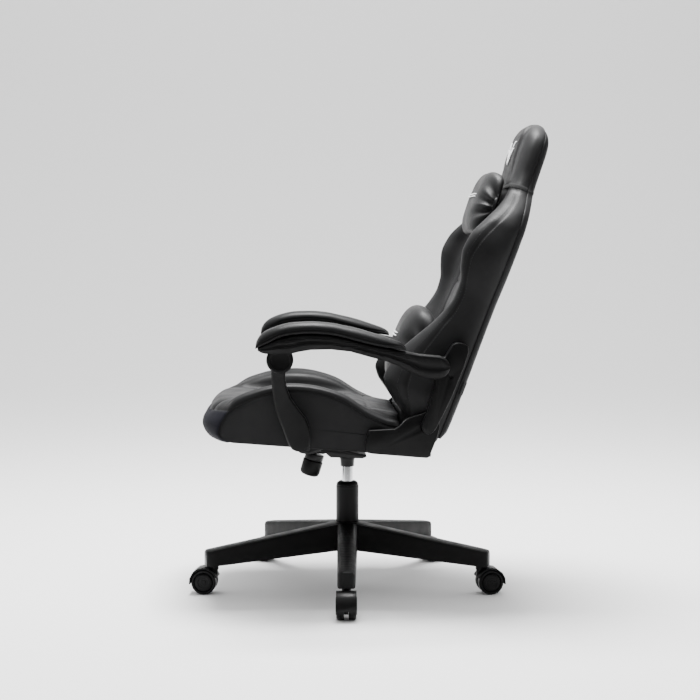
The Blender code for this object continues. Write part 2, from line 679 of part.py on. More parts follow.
def build_back_frame():
    """The tube frame between the cushion and the rear panel: a closed hoop of one tube."""
    hoop = bpy.data.curves.new("back_frame", "CURVE")
    hoop.dimensions = "3D"
    hoop.bevel_depth = 0.0090
    hoop.bevel_resolution = 2
    line = hoop.splines.new("POLY")
    corners = []
    low = 0.045
    high = 0.545
    half = 0.198
    turn = 0.045
    for cx, cu, start in ((half - turn, high - turn, 0), (-half + turn, high - turn, 90),
                          (-half + turn, low + turn, 180), (half - turn, low + turn, 270)):
        for i in range(4):
            a = math.radians(start + 30 * i)
            corners.append(back_point(cx + turn * math.cos(a), cu + turn * math.sin(a), -0.0300))
    line.points.add(len(corners) - 1)
    for point, corner in zip(line.points, corners):
        point.co = (*corner, 1.0)
    line.use_cyclic_u = True
    guide = place("back_frame_path", hoop, None, cutters)
    bpy.context.view_layer.update()
    graph = bpy.context.evaluated_depsgraph_get()
    mesh = bpy.data.meshes.new_from_object(guide.evaluated_get(graph))
    place("back_frame", mesh, BLACK_STEEL)


# ---------------------------------------------------------------- recliner brackets and covers
SEAT_COVER = [
    (0.033, 0.3905), (0.040, 0.4185), (0.100, 0.4215), (0.112, 0.4280), (0.123, 0.4400),
    (0.135, 0.4480), (0.147, 0.4520), (0.158, 0.4550), (0.170, 0.4595), (0.184, 0.4585),
    (0.196, 0.4510), (0.2035, 0.4400), (0.2050, 0.4260), (0.1990, 0.4020), (0.1900, 0.3790),
    (0.1815, 0.3570), (0.176, 0.3535), (0.110, 0.3590), (0.050, 0.3640), (0.036, 0.3670),
]
SEAT_BRACKET = [
    (0.050, 0.380), (0.050, 0.405), (0.105, 0.409), (0.130, 0.424), (0.152, 0.4395),
    (0.162, 0.4500), (0.175, 0.4535), (0.188, 0.4500), (0.1965, 0.4400), (0.1985, 0.4280),
    (0.190, 0.405), (0.180, 0.380), (0.172, 0.366), (0.110, 0.370), (0.058, 0.3735),
]
BACK_COVER = [
    (0.1620, 0.4240), (0.1615, 0.4340), (0.1660, 0.4450), (0.1740, 0.4620), (0.1810, 0.4900),
    (0.1880, 0.5090), (0.1940, 0.5360), (0.1860, 0.5480), (0.1835, 0.5620), (0.1860, 0.5780),
    (0.1960, 0.5870), (0.2160, 0.5900), (0.2260, 0.6060),
    (0.2330, 0.6180), (0.2430, 0.6230), (0.2560, 0.6210), (0.2680, 0.6150), (0.2690, 0.6000),
    (0.2600, 0.5700), (0.2480, 0.5400), (0.2340, 0.5050), (0.2190, 0.4720), (0.2040, 0.4420),
    (0.1940, 0.4230), (0.1880, 0.4150), (0.1790, 0.4105), (0.1680, 0.4130),
]
BACK_BRACKET = [
    (0.1680, 0.4250), (0.1680, 0.4360), (0.1790, 0.4640), (0.1930, 0.5110), (0.1990, 0.5370),
    (0.1905, 0.5500), (0.1880, 0.5640), (0.1920, 0.5780), (0.2030, 0.5840), (0.2200, 0.5860),
    (0.2310, 0.6080), (0.2400, 0.6170), (0.2540, 0.6140), (0.2620, 0.6080), (0.2430, 0.5450),
    (0.2140, 0.4740), (0.1900, 0.4260), (0.1840, 0.4180), (0.1750, 0.4160),
]
SPACERS = ((0.2240, 0.5450), (0.2450, 0.6000))


def mirrored(name, source, mat):
    made = baked(name, source, mat)
    made.data.transform(Matrix.Diagonal((-1, 1, 1, 1)))
    made.data.flip_normals()
    return made


def grown(outline, amount):
    """An outline moved outwards (or inwards for a negative amount) along its corners' bisectors."""
    count = len(outline)
    area = sum(outline[i][0] * outline[(i + 1) % count][1] - outline[(i + 1) % count][0] * outline[i][1]
               for i in range(count))
    sign = 1.0 if area > 0 else -1.0
    made = []
    for i in range(count):
        before = Vector(outline[i]) - Vector(outline[i - 1])
        after = Vector(outline[(i + 1) % count]) - Vector(outline[i])
        first = Vector((before.y, -before.x)).normalized() * sign
        second = Vector((after.y, -after.x)).normalized() * sign
        middle = (first + second).normalized()
        reach = amount / max(0.5, middle.dot(first))
        made.append(tuple(Vector(outline[i]) + middle * reach))
    return made


def build_recliner():
    bracket = slab("seat_bracket_pattern", SEAT_BRACKET, *SEAT_BRACKET_X, None, collection=cutters)
    boss = pin("recliner_boss", 0.0070, SEAT_BRACKET_X[0], BACK_BRACKET_X[1], *HINGE, steps=24)
    combine(bracket, [boss], "UNION")

    cover = slab("seat_cover_pattern", SEAT_COVER, *SEAT_COVER_X, None, 0.0022, 2, collection=cutters)
    hollow = slab("seat_cover_hollow", grown(SEAT_BRACKET, 0.0010), 0.2450, SEAT_BRACKET_X[1] + GAP,
                  None, collection=cutters)
    cover_hole = pin("seat_cover_hole", 0.0074, 0.24, 0.30, *HINGE, steps=24)
    combine(cover, [hollow, cover_hole])

    turn = slab("back_bracket_pattern", BACK_BRACKET, *BACK_BRACKET_X, None, collection=cutters)
    fixings = [pin(f"spacer_{i}", 0.0070, 0.2508, 0.2700, y, z, steps=12)
               for i, (y, z) in enumerate(SPACERS)]
    arm_pin = pin("arm_pin", 0.0075, 0.2720, 0.3060, *REAR_PIVOT, steps=24)
    combine(turn, fixings + [arm_pin], "UNION")
    combine(turn, [pin("turn_hole", 0.00718, 0.26, 0.28, *HINGE, steps=24)])

    skin = slab("back_cover_pattern", BACK_COVER, *BACK_COVER_X, None, 0.0022, 2, collection=cutters)
    inside = slab("back_cover_hollow", grown(BACK_COVER, -0.0032), 0.2450, BACK_BRACKET_X[1] + GAP,
                  None, collection=cutters)
    clearance = turned(
        "back_cover_clearance",
        [(0.0, 0.2688), (0.0385, 0.2688), (0.0385, 0.2400), (0.0, 0.2400)],
        28, None, (0, *HINGE), (1, 0, 0), collection=cutters,
    )
    pin_hole = pin("arm_pin_hole", 0.0078, 0.27, 0.30, *REAR_PIVOT, steps=16)
    recess = pin("screw_recess", 0.0050, 0.2800, 0.2950, 0.2285, 0.5440, steps=12)
    combine(skin, [inside, clearance, pin_hole, recess])

    for name, source, mat in (
        ("seat_bracket", bracket, BLACK_STEEL), ("seat_side_cover", cover, SHELL_PLASTIC),
        ("back_bracket", turn, BLACK_STEEL), ("back_side_cover", skin, SHELL_PLASTIC),
    ):
        left = baked(f"{name}_left", source, mat)
        right = mirrored(f"{name}_right", source, mat)
        if name.startswith("back"):
            move_origin(left, (0, *HINGE))
            move_origin(right, (0, *HINGE))


# ---------------------------------------------------------------- armrests
PAD_TOP = (
    (-0.2205, 0.6210), (-0.2160, 0.6330), (-0.2050, 0.6460), (-0.1870, 0.6570), (-0.1640, 0.6650),
    (-0.1300, 0.6715), (-0.0950, 0.6730), (-0.0500, 0.6700), (-0.0050, 0.6610), (0.0410, 0.6490),
    (0.0870, 0.6340), (0.1130, 0.6230), (0.1220, 0.6150),
)
PAD_UNDER = (
    (-0.2205, 0.6160), (-0.2050, 0.6230), (-0.1870, 0.6300), (-0.1640, 0.6400), (-0.1300, 0.6460),
    (-0.0950, 0.6480), (-0.0500, 0.6450), (-0.0050, 0.6350), (0.0410, 0.6230), (0.0870, 0.6140),
    (0.1130, 0.6100), (0.1220, 0.6080),
)
SHELL_TOP = (
    (-0.2150, 0.6140), (-0.2050, 0.6220), (-0.1870, 0.6290), (-0.1640, 0.6390), (-0.1300, 0.6450),
    (-0.0950, 0.6470), (-0.0500, 0.6440), (-0.0050, 0.6340), (0.0410, 0.6220), (0.0870, 0.6130),
    (0.1100, 0.6070), (0.1330, 0.6030), (0.1550, 0.5990), (0.1780, 0.5970), (0.2010, 0.5950),
    (0.2150, 0.5890), (0.2230, 0.5780), (0.2250, 0.5680),
)
SHELL_UNDER = (
    (-0.2150, 0.6080), (-0.2050, 0.6020), (-0.1960, 0.6010), (-0.1350, 0.6010), (-0.1190, 0.6070),
    (-0.0960, 0.6100), (-0.0500, 0.6110), (-0.0050, 0.6060), (0.0410, 0.5930), (0.0860, 0.5810),
    (0.1090, 0.5710), (0.1320, 0.5580), (0.1550, 0.5480), (0.1780, 0.5420), (0.1980, 0.5410),
    (0.2130, 0.5470), (0.2230, 0.5580), (0.2250, 0.5670),
)
SHELL_OUTER = ((-0.2150, 0.0240), (-0.1950, 0.0320), (0.0600, 0.0320), (0.1000, 0.0260),
               (0.1400, 0.0125), (0.2250, 0.0120))
SHELL_INNER = ((-0.2150, 0.0240), (-0.1950, 0.0320), (0.0600, 0.0320), (0.1000, 0.0220),
               (0.1400, 0.0138), (0.2250, 0.0138))
PAD_HALF = ((-0.2205, 0.0230), (-0.2050, 0.0330), (-0.1640, 0.0375), (0.0500, 0.0365),
            (0.1000, 0.0300), (0.1220, 0.0180))


def build_armrest():
    rings = []
    for y in (-0.2205, -0.2140, -0.2030, -0.1850, -0.1600, -0.1250, -0.0850, -0.0400, 0.0050,
              0.0500, 0.0870, 0.1100, 0.1220):
        half = sweep_value(PAD_HALF, y)
        top = sweep_value(PAD_TOP, y)
        under = sweep_value(PAD_UNDER, y) + GAP
        rise = top - under
        side = [(half - 0.0015, 0.0), (half, 0.25), (half - 0.002, 0.55), (half - 0.009, 0.85),
                (half * 0.5, 0.985)]
        ring = [(ARM_X + x, y, under + rise * up) for x, up in side]
        ring.append((ARM_X, y, top))
        ring += [(ARM_X - x, y, under + rise * up) for x, up in reversed(side)]
        rings.append(ring)
    pad = loft("arm_pad_pattern", rings, None, cutters)

    rings = []
    for y in (-0.2150, -0.2080, -0.1970, -0.1700, -0.1400, -0.1230, -0.0950, -0.0500, -0.0050,
              0.0400, 0.0800, 0.1100, 0.1330, 0.1550, 0.1780, 0.2000, 0.2130, 0.2210, 0.2250):
        outer = ARM_X + sweep_value(SHELL_OUTER, y)
        inner = ARM_X - sweep_value(SHELL_INNER, y)
        top = sweep_value(SHELL_TOP, y) - 2 * GAP
        under = sweep_value(SHELL_UNDER, y)
        rise = top - under
        edge = min(0.004, rise * 0.25)
        rings.append([
            (outer - edge, y, top), (outer, y, top - edge), (outer, y, under + rise * 0.62),
            (outer - 0.0012, y, under + rise * 0.58), (outer - 0.0012, y, under + rise * 0.36),
            (outer - 0.0004, y, under + rise * 0.32), (outer - 0.0030, y, under + edge),
            (outer - 0.0065, y, under), (inner + 0.0065, y, under), (inner + 0.0030, y, under + edge),
            (inner, y, under + rise * 0.35), (inner, y, top - edge), (inner + edge, y, top),
        ])
    shell = loft("arm_shell_pattern", rings, None, cutters)
    slot = block("arm_slot", (0.2852, -0.2060, 0.580), (0.3142, -0.1240, 0.6265))
    pivot = pin("arm_rear_hole", 0.0078, 0.2700, 0.3070, *REAR_PIVOT, steps=24)
    combine(shell, [slot, pivot])
    return pad, shell


def build_support():
    """The curved front link, from its foot on the seat's side up to its round head."""
    path = (
        (0.3720, -0.118, 0.0100, 0.2668), (0.3760, -0.119, 0.0180, 0.2668),
        (0.3850, -0.1205, 0.0238, 0.2672),
        (0.3980, -0.1225, 0.0275, 0.2680), (0.4150, -0.1260, 0.0300, 0.2690),
        (0.4300, -0.1300, 0.0315, 0.2705),
        (0.4480, -0.1370, 0.0315, 0.2725), (0.4700, -0.1490, 0.0265, 0.2755),
        (0.4950, -0.1600, 0.0200, 0.2800),
        (0.5200, -0.1662, 0.0170, 0.2850), (0.5450, -0.1690, 0.0160, 0.2915),
        (0.5700, -0.1680, 0.0165, 0.2970),
        (0.5900, -0.1660, 0.0165, 0.2997),
    )
    rings = []
    for z, y, half, x in path:
        thick = 0.0118
        soft = min(0.0045, half * 0.4)
        rings.append([
            (x + thick - 0.004, y - half, z), (x + thick, y - half + soft, z),
            (x + thick, y + half - soft, z), (x + thick - 0.004, y + half, z),
            (x - thick + 0.002, y + half, z), (x - thick, y + half - soft, z),
            (x - thick, y - half + soft, z), (x - thick + 0.002, y - half, z),
        ])
    link = loft("support_pattern", rings, None, cutters)
    head = turned(
        "support_head",
        [(0.0, 0.3118), (0.0215, 0.3118), (0.0230, 0.3135), (0.0285, 0.3135), (0.0310, 0.3110),
         (0.0310, 0.2885), (0.0295, 0.2868), (0.0, 0.2868)],
        32, None, (0, *FRONT_PIVOT), (1, 0, 0), collection=cutters,
    )
    combine(link, [head], "UNION")
    return link


def build_armrests():
    pad, shell = build_armrest()
    link = build_support()
    for name, source, mat, point in (
        ("arm_pad", pad, LEATHER, REAR_PIVOT), ("arm_shell", shell, SHELL_PLASTIC, REAR_PIVOT),
        ("arm_support", link, SHELL_PLASTIC, FOOT_PIVOT),
    ):
        left = baked(f"{name}_left", source, mat)
        right = mirrored(f"{name}_right", source, mat)
        move_origin(left, (0, *point))
        move_origin(right, (0, *point))


# ---------------------------------------------------------------- recline lever
def build_recline_lever():
    """On the sitter's right: a plate on the recliner with a long plastic grip."""
    plate = slab(
        "recline_lever_plate",
        [(0.122, 0.392), (0.122, 0.402), (0.130, 0.410), (0.141, 0.410), (0.148, 0.402),
         (0.148, 0.392), (0.141, 0.384), (0.130, 0.384)],
        -0.2755, -0.2692, None, collection=cutters,
    )
    sections = ((0.126, 0.0080, 0.0050, 0.397), (0.105, 0.0095, 0.0055, 0.3985),
                (0.060, 0.0105, 0.0065, 0.4035), (0.015, 0.0100, 0.0070, 0.4100),
                (-0.006, 0.0080, 0.0060, 0.4130), (-0.012, 0.0040, 0.0030, 0.4140))
    rings = []
    for y, half, thick, z in sections:
        x = -0.2765
        rings.append([
            (x - thick, y, z - half * 0.5), (x - thick * 0.5, y, z - half),
            (x + thick * 0.5, y, z - half), (x + thick, y, z - half * 0.5),
            (x + thick, y, z + half * 0.5), (x + thick * 0.5, y, z + half),
            (x - thick * 0.5, y, z + half), (x - thick, y, z + half * 0.5),
        ])
    lever = loft("recline_lever", rings, SHELL_PLASTIC)
    combine(lever, [plate], "UNION")
    return lever


# ---------------------------------------------------------------- pillows and straps
def pillow(name, half_width, up_middle, half_height, out_rear, out_front, mat):
    """A stuffed pillow lying on the backrest, as a loft across its width."""
    rings = []
    middle = (out_rear + out_front) / 2
    for t in (-1.0, -0.97, -0.88, -0.70, -0.40, 0.0, 0.40, 0.70, 0.88, 0.97, 1.0):
        height = half_height * max(0.30, (1 - abs(t) ** 5) ** 0.5)
        depth = (out_front - out_rear) / 2 * max(0.16, (1 - abs(t) ** 3.2) ** 0.5)
        ring = []
        for i in range(16):
            a = 2 * math.pi * i / 16
            c, s = math.cos(a), math.sin(a)
            up = up_middle + height * math.copysign(abs(s) ** 0.75, s)
            out = middle + depth * math.copysign(abs(c) ** 0.80, c)
            ring.append(back_point(half_width * t, up, out))
        rings.append(ring)
    return loft(name, rings, mat)


def strap(name, low, high, mat, thick):
    """A flat strap over two edge lines on the backrest, each a list of (x, up, out)."""
    rings = []
    count = len(low)
    for i in range(count):
        before = Vector(low[max(i - 1, 0)])
        after = Vector(low[min(i + 1, count - 1)])
        along = (after - before).normalized()
        off = Vector((-along.z, 0.0, along.x)).normalized()
        ring = []
        for point, reach in ((low[i], 0.0), (high[i], 0.0), (high[i], thick), (low[i], thick)):
            ring.append(back_point(point[0] + off.x * reach, point[1], point[2] + off.z * reach))
        rings.append(ring)
    return loft(name, rings, mat)


def around_back(up, clear, from_front):
    """A line round the back at one height, a little clear of it, from the sitter's left to right."""
    front = back_side(up)[8:2:-1] if from_front else []
    side = [(x, out) for x, out in front]
    half = sweep_value(BACK_HALF, up)
    if from_front:
        side.append((half, sweep_value(BACK_SEAM, up) - 0.008))
    side += [(half, -0.046), *panel_side(up)[2:]]
    line = side + [(-x, out) for x, out in reversed(side[:-1])]
    made = []
    for i, (x, out) in enumerate(line):
        before = Vector(line[max(i - 1, 0)])
        after = Vector(line[min(i + 1, len(line) - 1)])
        along = (after - before).normalized()
        made.append((x - along.y * clear, up, out + along.x * clear))
    return made


def build_pillows():
    pillow("lumbar_pillow", 0.150, 0.153, 0.100, 0.0400, 0.1240, PILLOW_LEATHER)
    pillow("head_pillow", 0.140, 0.541, 0.080, 0.0080, 0.0640, PILLOW_LEATHER)
    low = around_back(0.092, 0.0009, False)
    high = around_back(0.124, 0.0009, False)
    strap("lumbar_strap", low, high, WEBBING, 0.0014)
    low = around_back(0.590, 0.0012, True)
    high = around_back(0.616, 0.0012, True)
    strap("head_strap", low, high, WEBBING, 0.0014)
    rings = []
    for up, half in ((0.088, 0.018), (0.092, 0.021), (0.124, 0.021), (0.128, 0.018)):
        rings.append([back_point(x, up, out) for x, out in
                      ((-half, -0.0625), (half, -0.0625), (half, -0.0670), (half - 0.004, -0.0690),
                       (-half + 0.004, -0.0690), (-half, -0.0670))])
    loft("strap_buckle", rings, SHELL_PLASTIC)


build_base()
build_castors()
build_gas_lift()
build_mechanism()
build_seat_plate()
build_seat_pan()
build_seat_cushion()
build_back()
build_recliner()
build_armrests()
build_recline_lever()
build_pillows()

for piece in list(chair.objects) + list(cutters.objects):
    piece.location.x -= FOOTPRINT_MIDDLE[0]
    piece.location.y -= FOOTPRINT_MIDDLE[1]
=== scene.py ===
"""Looks of the racing-style gaming chair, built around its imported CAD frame.

Shapes are worked out about the gas lift's axis, as the CAD part is, and moved by SHIFT into the frame.
Lengths are metres; the chair faces -Y and the sitter's left is +X.
"""
import json
import math

import bmesh
import bpy
import numpy as np
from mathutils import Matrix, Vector, noise
from mathutils.bvhtree import BVHTree


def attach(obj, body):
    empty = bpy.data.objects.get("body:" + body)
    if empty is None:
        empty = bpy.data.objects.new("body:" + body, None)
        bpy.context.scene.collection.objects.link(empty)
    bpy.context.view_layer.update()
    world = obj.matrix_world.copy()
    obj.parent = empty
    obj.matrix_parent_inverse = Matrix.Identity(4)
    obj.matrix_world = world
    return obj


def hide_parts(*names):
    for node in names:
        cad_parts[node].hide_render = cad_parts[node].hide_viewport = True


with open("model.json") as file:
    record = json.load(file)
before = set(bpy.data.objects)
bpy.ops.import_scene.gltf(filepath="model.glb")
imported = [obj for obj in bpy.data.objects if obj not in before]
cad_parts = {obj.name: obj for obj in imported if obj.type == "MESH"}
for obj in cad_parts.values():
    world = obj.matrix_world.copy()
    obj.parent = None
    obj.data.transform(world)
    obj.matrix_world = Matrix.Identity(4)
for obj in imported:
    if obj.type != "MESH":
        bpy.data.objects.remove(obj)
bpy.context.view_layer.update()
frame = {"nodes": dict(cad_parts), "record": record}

# The chair's driving dimensions, the same as the CAD part's.
SHIFT = np.array((0.03115, 0.04408, 0.0))  # the box's middle from the lift's axis
HINGE = (0.175, 0.430)  # the recliner's line, as (y, z)
LEAN = math.radians(20.5)  # the backrest's slope at rest
SIN, COS = math.sin(LEAN), math.cos(LEAN)
BACK_R = 0.057  # the backrest's rounded foot about the hinge
SEAT_HALF = 0.250
ARM_X = 0.300
STRAP_UPS = (0.586, 0.606)  # where the head strap crosses the backrest
SHARP_ANGLE = math.radians(36)  # edges over this stay crisp on CAD nodes
WHITE = (1.0, 1.0, 1.0)


# ---- camera and light
def placed(name, data):
    """A new object in the scene."""
    made = bpy.data.objects.new(name, data)
    bpy.context.scene.collection.objects.link(made)
    return made


def set_camera():
    data = bpy.data.cameras.new("Camera")
    data.lens = 77.36
    data.sensor_width = 36.0
    data.clip_end = 60.0
    camera = placed("Camera", data)
    camera.location = (3.69399, -0.17999, 0.83827)
    forward = Vector((-0.99701952, 0.03816191, -0.06705037))
    camera.rotation_euler = forward.to_track_quat("-Z", "Y").to_euler()
    bpy.context.scene.camera = camera


def area_light(name, at, aim, size, power):
    data = bpy.data.lights.new(name, "AREA")
    data.shape = "RECTANGLE"
    data.size, data.size_y = size
    data.energy = power
    data.color = WHITE
    light = placed(name, data)
    light.location = at
    light.rotation_euler = (Vector(aim) - Vector(at)).to_track_quat("-Z", "Y").to_euler()


def set_lights():
    """A studio that brightens upwards and away from the camera, with one softbox over the chair."""
    world = bpy.data.worlds.new("Studio")
    bpy.context.scene.world = world
    world.use_nodes = True
    tree = world.node_tree
    where = tree.nodes.new("ShaderNodeTexCoord")
    height = tree.nodes.new("ShaderNodeVectorMath")
    height.operation = "DOT_PRODUCT"
    height.inputs[1].default_value = (-0.40, 0.0, 0.917)
    tree.links.new(where.outputs["Generated"], height.inputs[0])
    rise = tree.nodes.new("ShaderNodeMapRange")
    rise.interpolation_type = "SMOOTHSTEP"
    tree.links.new(height.outputs["Value"], rise.inputs["Value"])
    for socket, value in (("From Min", 0.26), ("From Max", 0.97), ("To Min", 0.67), ("To Max", 2.2)):
        rise.inputs[socket].default_value = value
    tree.links.new(rise.outputs["Result"], tree.nodes["Background"].inputs["Strength"])
    tree.nodes["Background"].inputs["Color"].default_value = (*WHITE, 1.0)
    area_light("Overhead softbox", (-0.5, 0.0, 3.4), (0.0, 0.0, 0.4), (1.3, 1.3), 420.0)
    area_light("Wall light", (-4.5, 0.0, 4.6), (-8.5, 0.0, 2.6), (5.0, 1.0), 195.0)


# ---- node materials
class Look:
    """A Principled material with small helpers for its node graph."""

    def __init__(self, name, colour, roughness, metallic=0.0, **shader):
        self.material = bpy.data.materials.new(name)
        self.material.use_nodes = True
        self.tree = self.material.node_tree
        self.shader = self.tree.nodes["Principled BSDF"]
        self.feed(self.shader, {"Base Color": (*colour, 1.0), "Roughness": roughness,
                                "Metallic": metallic})
        self.feed(self.shader, {key.replace("_", " "): value for key, value in shader.items()})
        self.where = self.add("TexCoord", {}).outputs["Object"]

    def feed(self, node, inputs):
        """Inputs by name or number, each from a value or from another node's output."""
        for socket, value in inputs.items():
            if isinstance(value, bpy.types.NodeSocket):
                self.tree.links.new(value, node.inputs[socket])
            else:
                node.inputs[socket].default_value = value

    def add(self, kind, inputs, **settings):
        node = self.tree.nodes.new("ShaderNode" + kind)
        for key, value in settings.items():
            setattr(node, key, value)
        self.feed(node, inputs)
        return node

    def stretched(self, scale):
        return self.add("Mapping", {"Vector": self.where, "Scale": scale}).outputs["Vector"]

    def noise(self, scale, detail=4.0, where=None, roughness=0.55):
        return self.add("TexNoise", {"Vector": where or self.where, "Scale": scale,
                                     "Detail": detail, "Roughness": roughness}).outputs["Fac"]

    def cells(self, scale):
        return self.add("TexVoronoi", {"Vector": self.where, "Scale": scale},
                        feature="DISTANCE_TO_EDGE").outputs["Distance"]

    def wave(self, scale, direction, distortion):
        return self.add("TexWave", {"Vector": self.where, "Scale": scale, "Distortion": distortion,
                                    "Detail": 1.0}, bands_direction=direction).outputs["Fac"]

    def ramp(self, source, low, high, to_low, to_high):
        return self.add("MapRange", {"Value": source, "From Min": low, "From Max": high,
                                     "To Min": to_low, "To Max": to_high}).outputs["Result"]

    def maths(self, kind, first, second):
        return self.add("Math", {0: first, 1: second}, operation=kind).outputs["Value"]

    def mix(self, factor, first, second):
        """A mix of two colours, each a triple or another node's colour."""
        first, second = ((*c, 1.0) if isinstance(c, tuple) else c for c in (first, second))
        return self.add("Mix", {0: factor, 6: first, 7: second}, data_type="RGBA").outputs[2]

    def attribute(self, name):
        return self.add("Attribute", {}, attribute_name=name).outputs["Fac"]

    def colour(self, source):
        self.feed(self.shader, {"Base Color": source})

    def rough(self, source):
        self.feed(self.shader, {"Roughness": source})

    def bump(self, *layers):
        """Each layer is (height, strength, distance); later layers lie on the earlier ones."""
        before = {}
        for height, strength, distance in layers:
            node = self.add("Bump", {"Height": height, "Strength": strength,
                                     "Distance": distance, **before})
            before = {"Normal": node.outputs["Normal"]}
        self.feed(self.shader, before)


# The seat's front panel colour: a bluish tone of its own, made darker as painted shade since the nose
# faces away from the light.
FRONT_TONE_AND_SHADE = (0.0032, 0.0032, 0.0064)
STEEL_BLACK = (0.0025, 0.0025, 0.0027)


def times(colour, factor):
    return tuple(c * factor for c in colour)


def leather(name, dark, light, roughness, grain=620.0, sheen=0.0):
    """Coated leather: pebbled grain, fine creases, patchy shine, lighter where it is rubbed and where a
    highlight is painted, darker at seams and where shade is painted.
    """
    look = Look(name, dark, roughness[0], Specular_IOR_Level=0.09, Coat_Weight=0.005,
                Coat_Roughness=0.30, Sheen_Weight=sheen, Sheen_Roughness=0.45)
    patches = look.ramp(look.noise(9.0, 5.0), 0.35, 0.68, 0.0, 1.0)
    mottle = look.mix(patches, dark, light)
    # Lighter by the wear-and-highlight mark: rub wear, and painted highlights on the seat's front top and
    # on the pillows' fold crests.
    worn_and_highlit = look.mix(look.attribute("wear_and_highlight"), mottle, times(light, 1.5))
    # Darker and bluer across the seat's front panel: its own tone, and painted shade.
    front_toned_and_shaded = look.mix(look.attribute("front_tone_and_shade"), worn_and_highlit, FRONT_TONE_AND_SHADE)
    # Darker at the seams, and as painted shade in the seat's bolster hollows and the pillows' fold
    # valleys.
    look.colour(look.mix(look.attribute("seam"), front_toned_and_shaded, times(dark, 0.35)))
    patchy = look.ramp(look.noise(26.0, 3.0), 0.3, 0.7, *roughness)
    look.rough(look.maths("MAXIMUM", patchy, look.maths("MULTIPLY", look.attribute("front_tone_and_shade"), 0.72)))
    pebbles = look.ramp(look.cells(grain), 0.0, 0.22, 0.0, 1.0)
    creases = look.noise(70.0, 6.0, look.stretched((1.0, 2.2, 1.6)), 0.62)
    pores = look.noise(2600.0, 2.0)
    look.bump((creases, 0.10, 0.0012), (pebbles, 0.22, 0.00022), (pores, 0.08, 0.0001))
    return look.material


def moulded(name, colour, roughness, texture=1500.0, bands=None, scuff=0.5):
    """Moulded plastic: spark-eroded grain, faint flow marks and scuffs; bands are fine moulded ribs."""
    look = Look(name, colour, roughness[0], Specular_IOR_Level=0.12)
    flow = look.ramp(look.noise(6.0, 4.0), 0.3, 0.7, 0.0, 1.0)
    base = look.mix(flow, colour, times(colour, 1.35))
    scratches = look.noise(55.0, 8.0, look.stretched((1.0, 4.0, 2.0)), 0.7)
    scuffs = look.ramp(scratches, 0.60, 0.78, 0.0, scuff)
    look.colour(look.mix(scuffs, base, times(colour, 2.6)))
    look.rough(look.ramp(look.noise(34.0, 4.0), 0.3, 0.7, *roughness))
    layers = [(look.noise(texture, 3.0), 0.20, 0.00010)]
    if bands:
        layers.append((look.wave(bands, "Z", 0.15), 0.32, 0.0006))
    look.bump(*layers)
    return look.material


def chrome():
    look = Look("Chrome", (0.86, 0.87, 0.88), 0.10, 1.0)
    smear = look.noise(16.0, 5.0, look.stretched((1.0, 1.0, 0.35)))
    look.rough(look.ramp(smear, 0.35, 0.7, 0.22, 0.32))
    smeared = look.ramp(smear, 0.4, 0.75, 0.0, 1.0)
    look.colour(look.mix(smeared, (0.90, 0.91, 0.92), (0.74, 0.75, 0.77)))
    look.bump((look.wave(900.0, "Z", 2.0), 0.03, 0.00005))
    return look.material


def zinc():
    look = Look("Bright steel", (0.55, 0.56, 0.57), 0.3, 1.0)
    grain = look.noise(300.0, 6.0)
    stain = look.ramp(look.noise(40.0, 4.0), 0.35, 0.65, 0.0, 1.0)
    look.colour(look.mix(stain, (0.60, 0.61, 0.61), (0.40, 0.40, 0.42)))
    look.rough(look.ramp(grain, 0.3, 0.7, 0.22, 0.42))
    look.bump((grain, 0.10, 0.0001))
    return look.material


def painted():
    look = Look("Black painted steel", STEEL_BLACK, 0.4, Coat_Weight=0.03, Coat_Roughness=0.25,
                Specular_IOR_Level=0.20)
    chips = look.ramp(look.noise(90.0, 8.0, None, 0.7), 0.70, 0.76, 0.0, 0.6)
    look.colour(look.mix(chips, STEEL_BLACK, (0.02, 0.02, 0.02)))
    look.rough(look.ramp(look.noise(30.0), 0.3, 0.7, 0.32, 0.48))
    look.bump((look.noise(420.0, 2.0), 0.16, 0.0002))
    return look.material


def woven(name, dark, light, threads):
    """Webbing or backing cloth: threads that cross in the object's own X and Z, so it needs no map."""
    look = Look(name, dark, 0.85, Specular_IOR_Level=0.15, Sheen_Weight=0.02, Sheen_Roughness=0.5)
    across = look.wave(threads, "X", 0.4)
    along = look.wave(threads, "Z", 0.4)
    weave = look.maths("MULTIPLY", across, along)
    look.colour(look.mix(look.ramp(weave, 0.0, 0.8, 0.0, 1.0), dark, light))
    look.rough(look.ramp(look.noise(300.0), 0.3, 0.7, 0.75, 0.92))
    look.bump((weave, 0.5, 0.0004), (look.noise(3000.0), 0.2, 0.0001))
    return look.material


def thread(name, colour):
    look = Look(name, colour, 0.55, Specular_IOR_Level=0.3, Sheen_Weight=0.05, Sheen_Roughness=0.4)
    twist = look.wave(1400.0, "DIAGONAL", 0.5)
    look.colour(look.mix(twist, times(colour, 0.7), colour))
    look.bump((twist, 0.5, 0.0002))
    return look.material


SEAT_LEATHER = leather(
    "Cushion leather", (0.0100, 0.0100, 0.0104), (0.0138, 0.0138, 0.0142), (0.40, 0.54))
PANEL_LEATHER = leather(
    "Rear leather", (0.0090, 0.0090, 0.0094), (0.0140, 0.0140, 0.0144), (0.44, 0.58), 520.0)
PILLOW_LEATHER = leather(
    "Pillow leather", (0.0084, 0.0084, 0.0088), (0.0134, 0.0134, 0.0138), (0.38, 0.50), 700.0, 0.02)
PAD_LEATHER = leather(
    "Armrest leather", (0.0050, 0.0050, 0.0052), (0.0082, 0.0082, 0.0085), (0.36, 0.48), 760.0)
NYLON = moulded("Base nylon", (0.0026, 0.0026, 0.0027), (0.36, 0.52), bands=190.0)
COVERS = moulded("Cover plastic", (0.0016, 0.0016, 0.0017), (0.38, 0.52), 2100.0)
CASTOR = moulded("Castor plastic", (0.0036, 0.0036, 0.0037), (0.26, 0.42), 1200.0, scuff=0.9)
STEEL = painted()
CHROME = chrome()
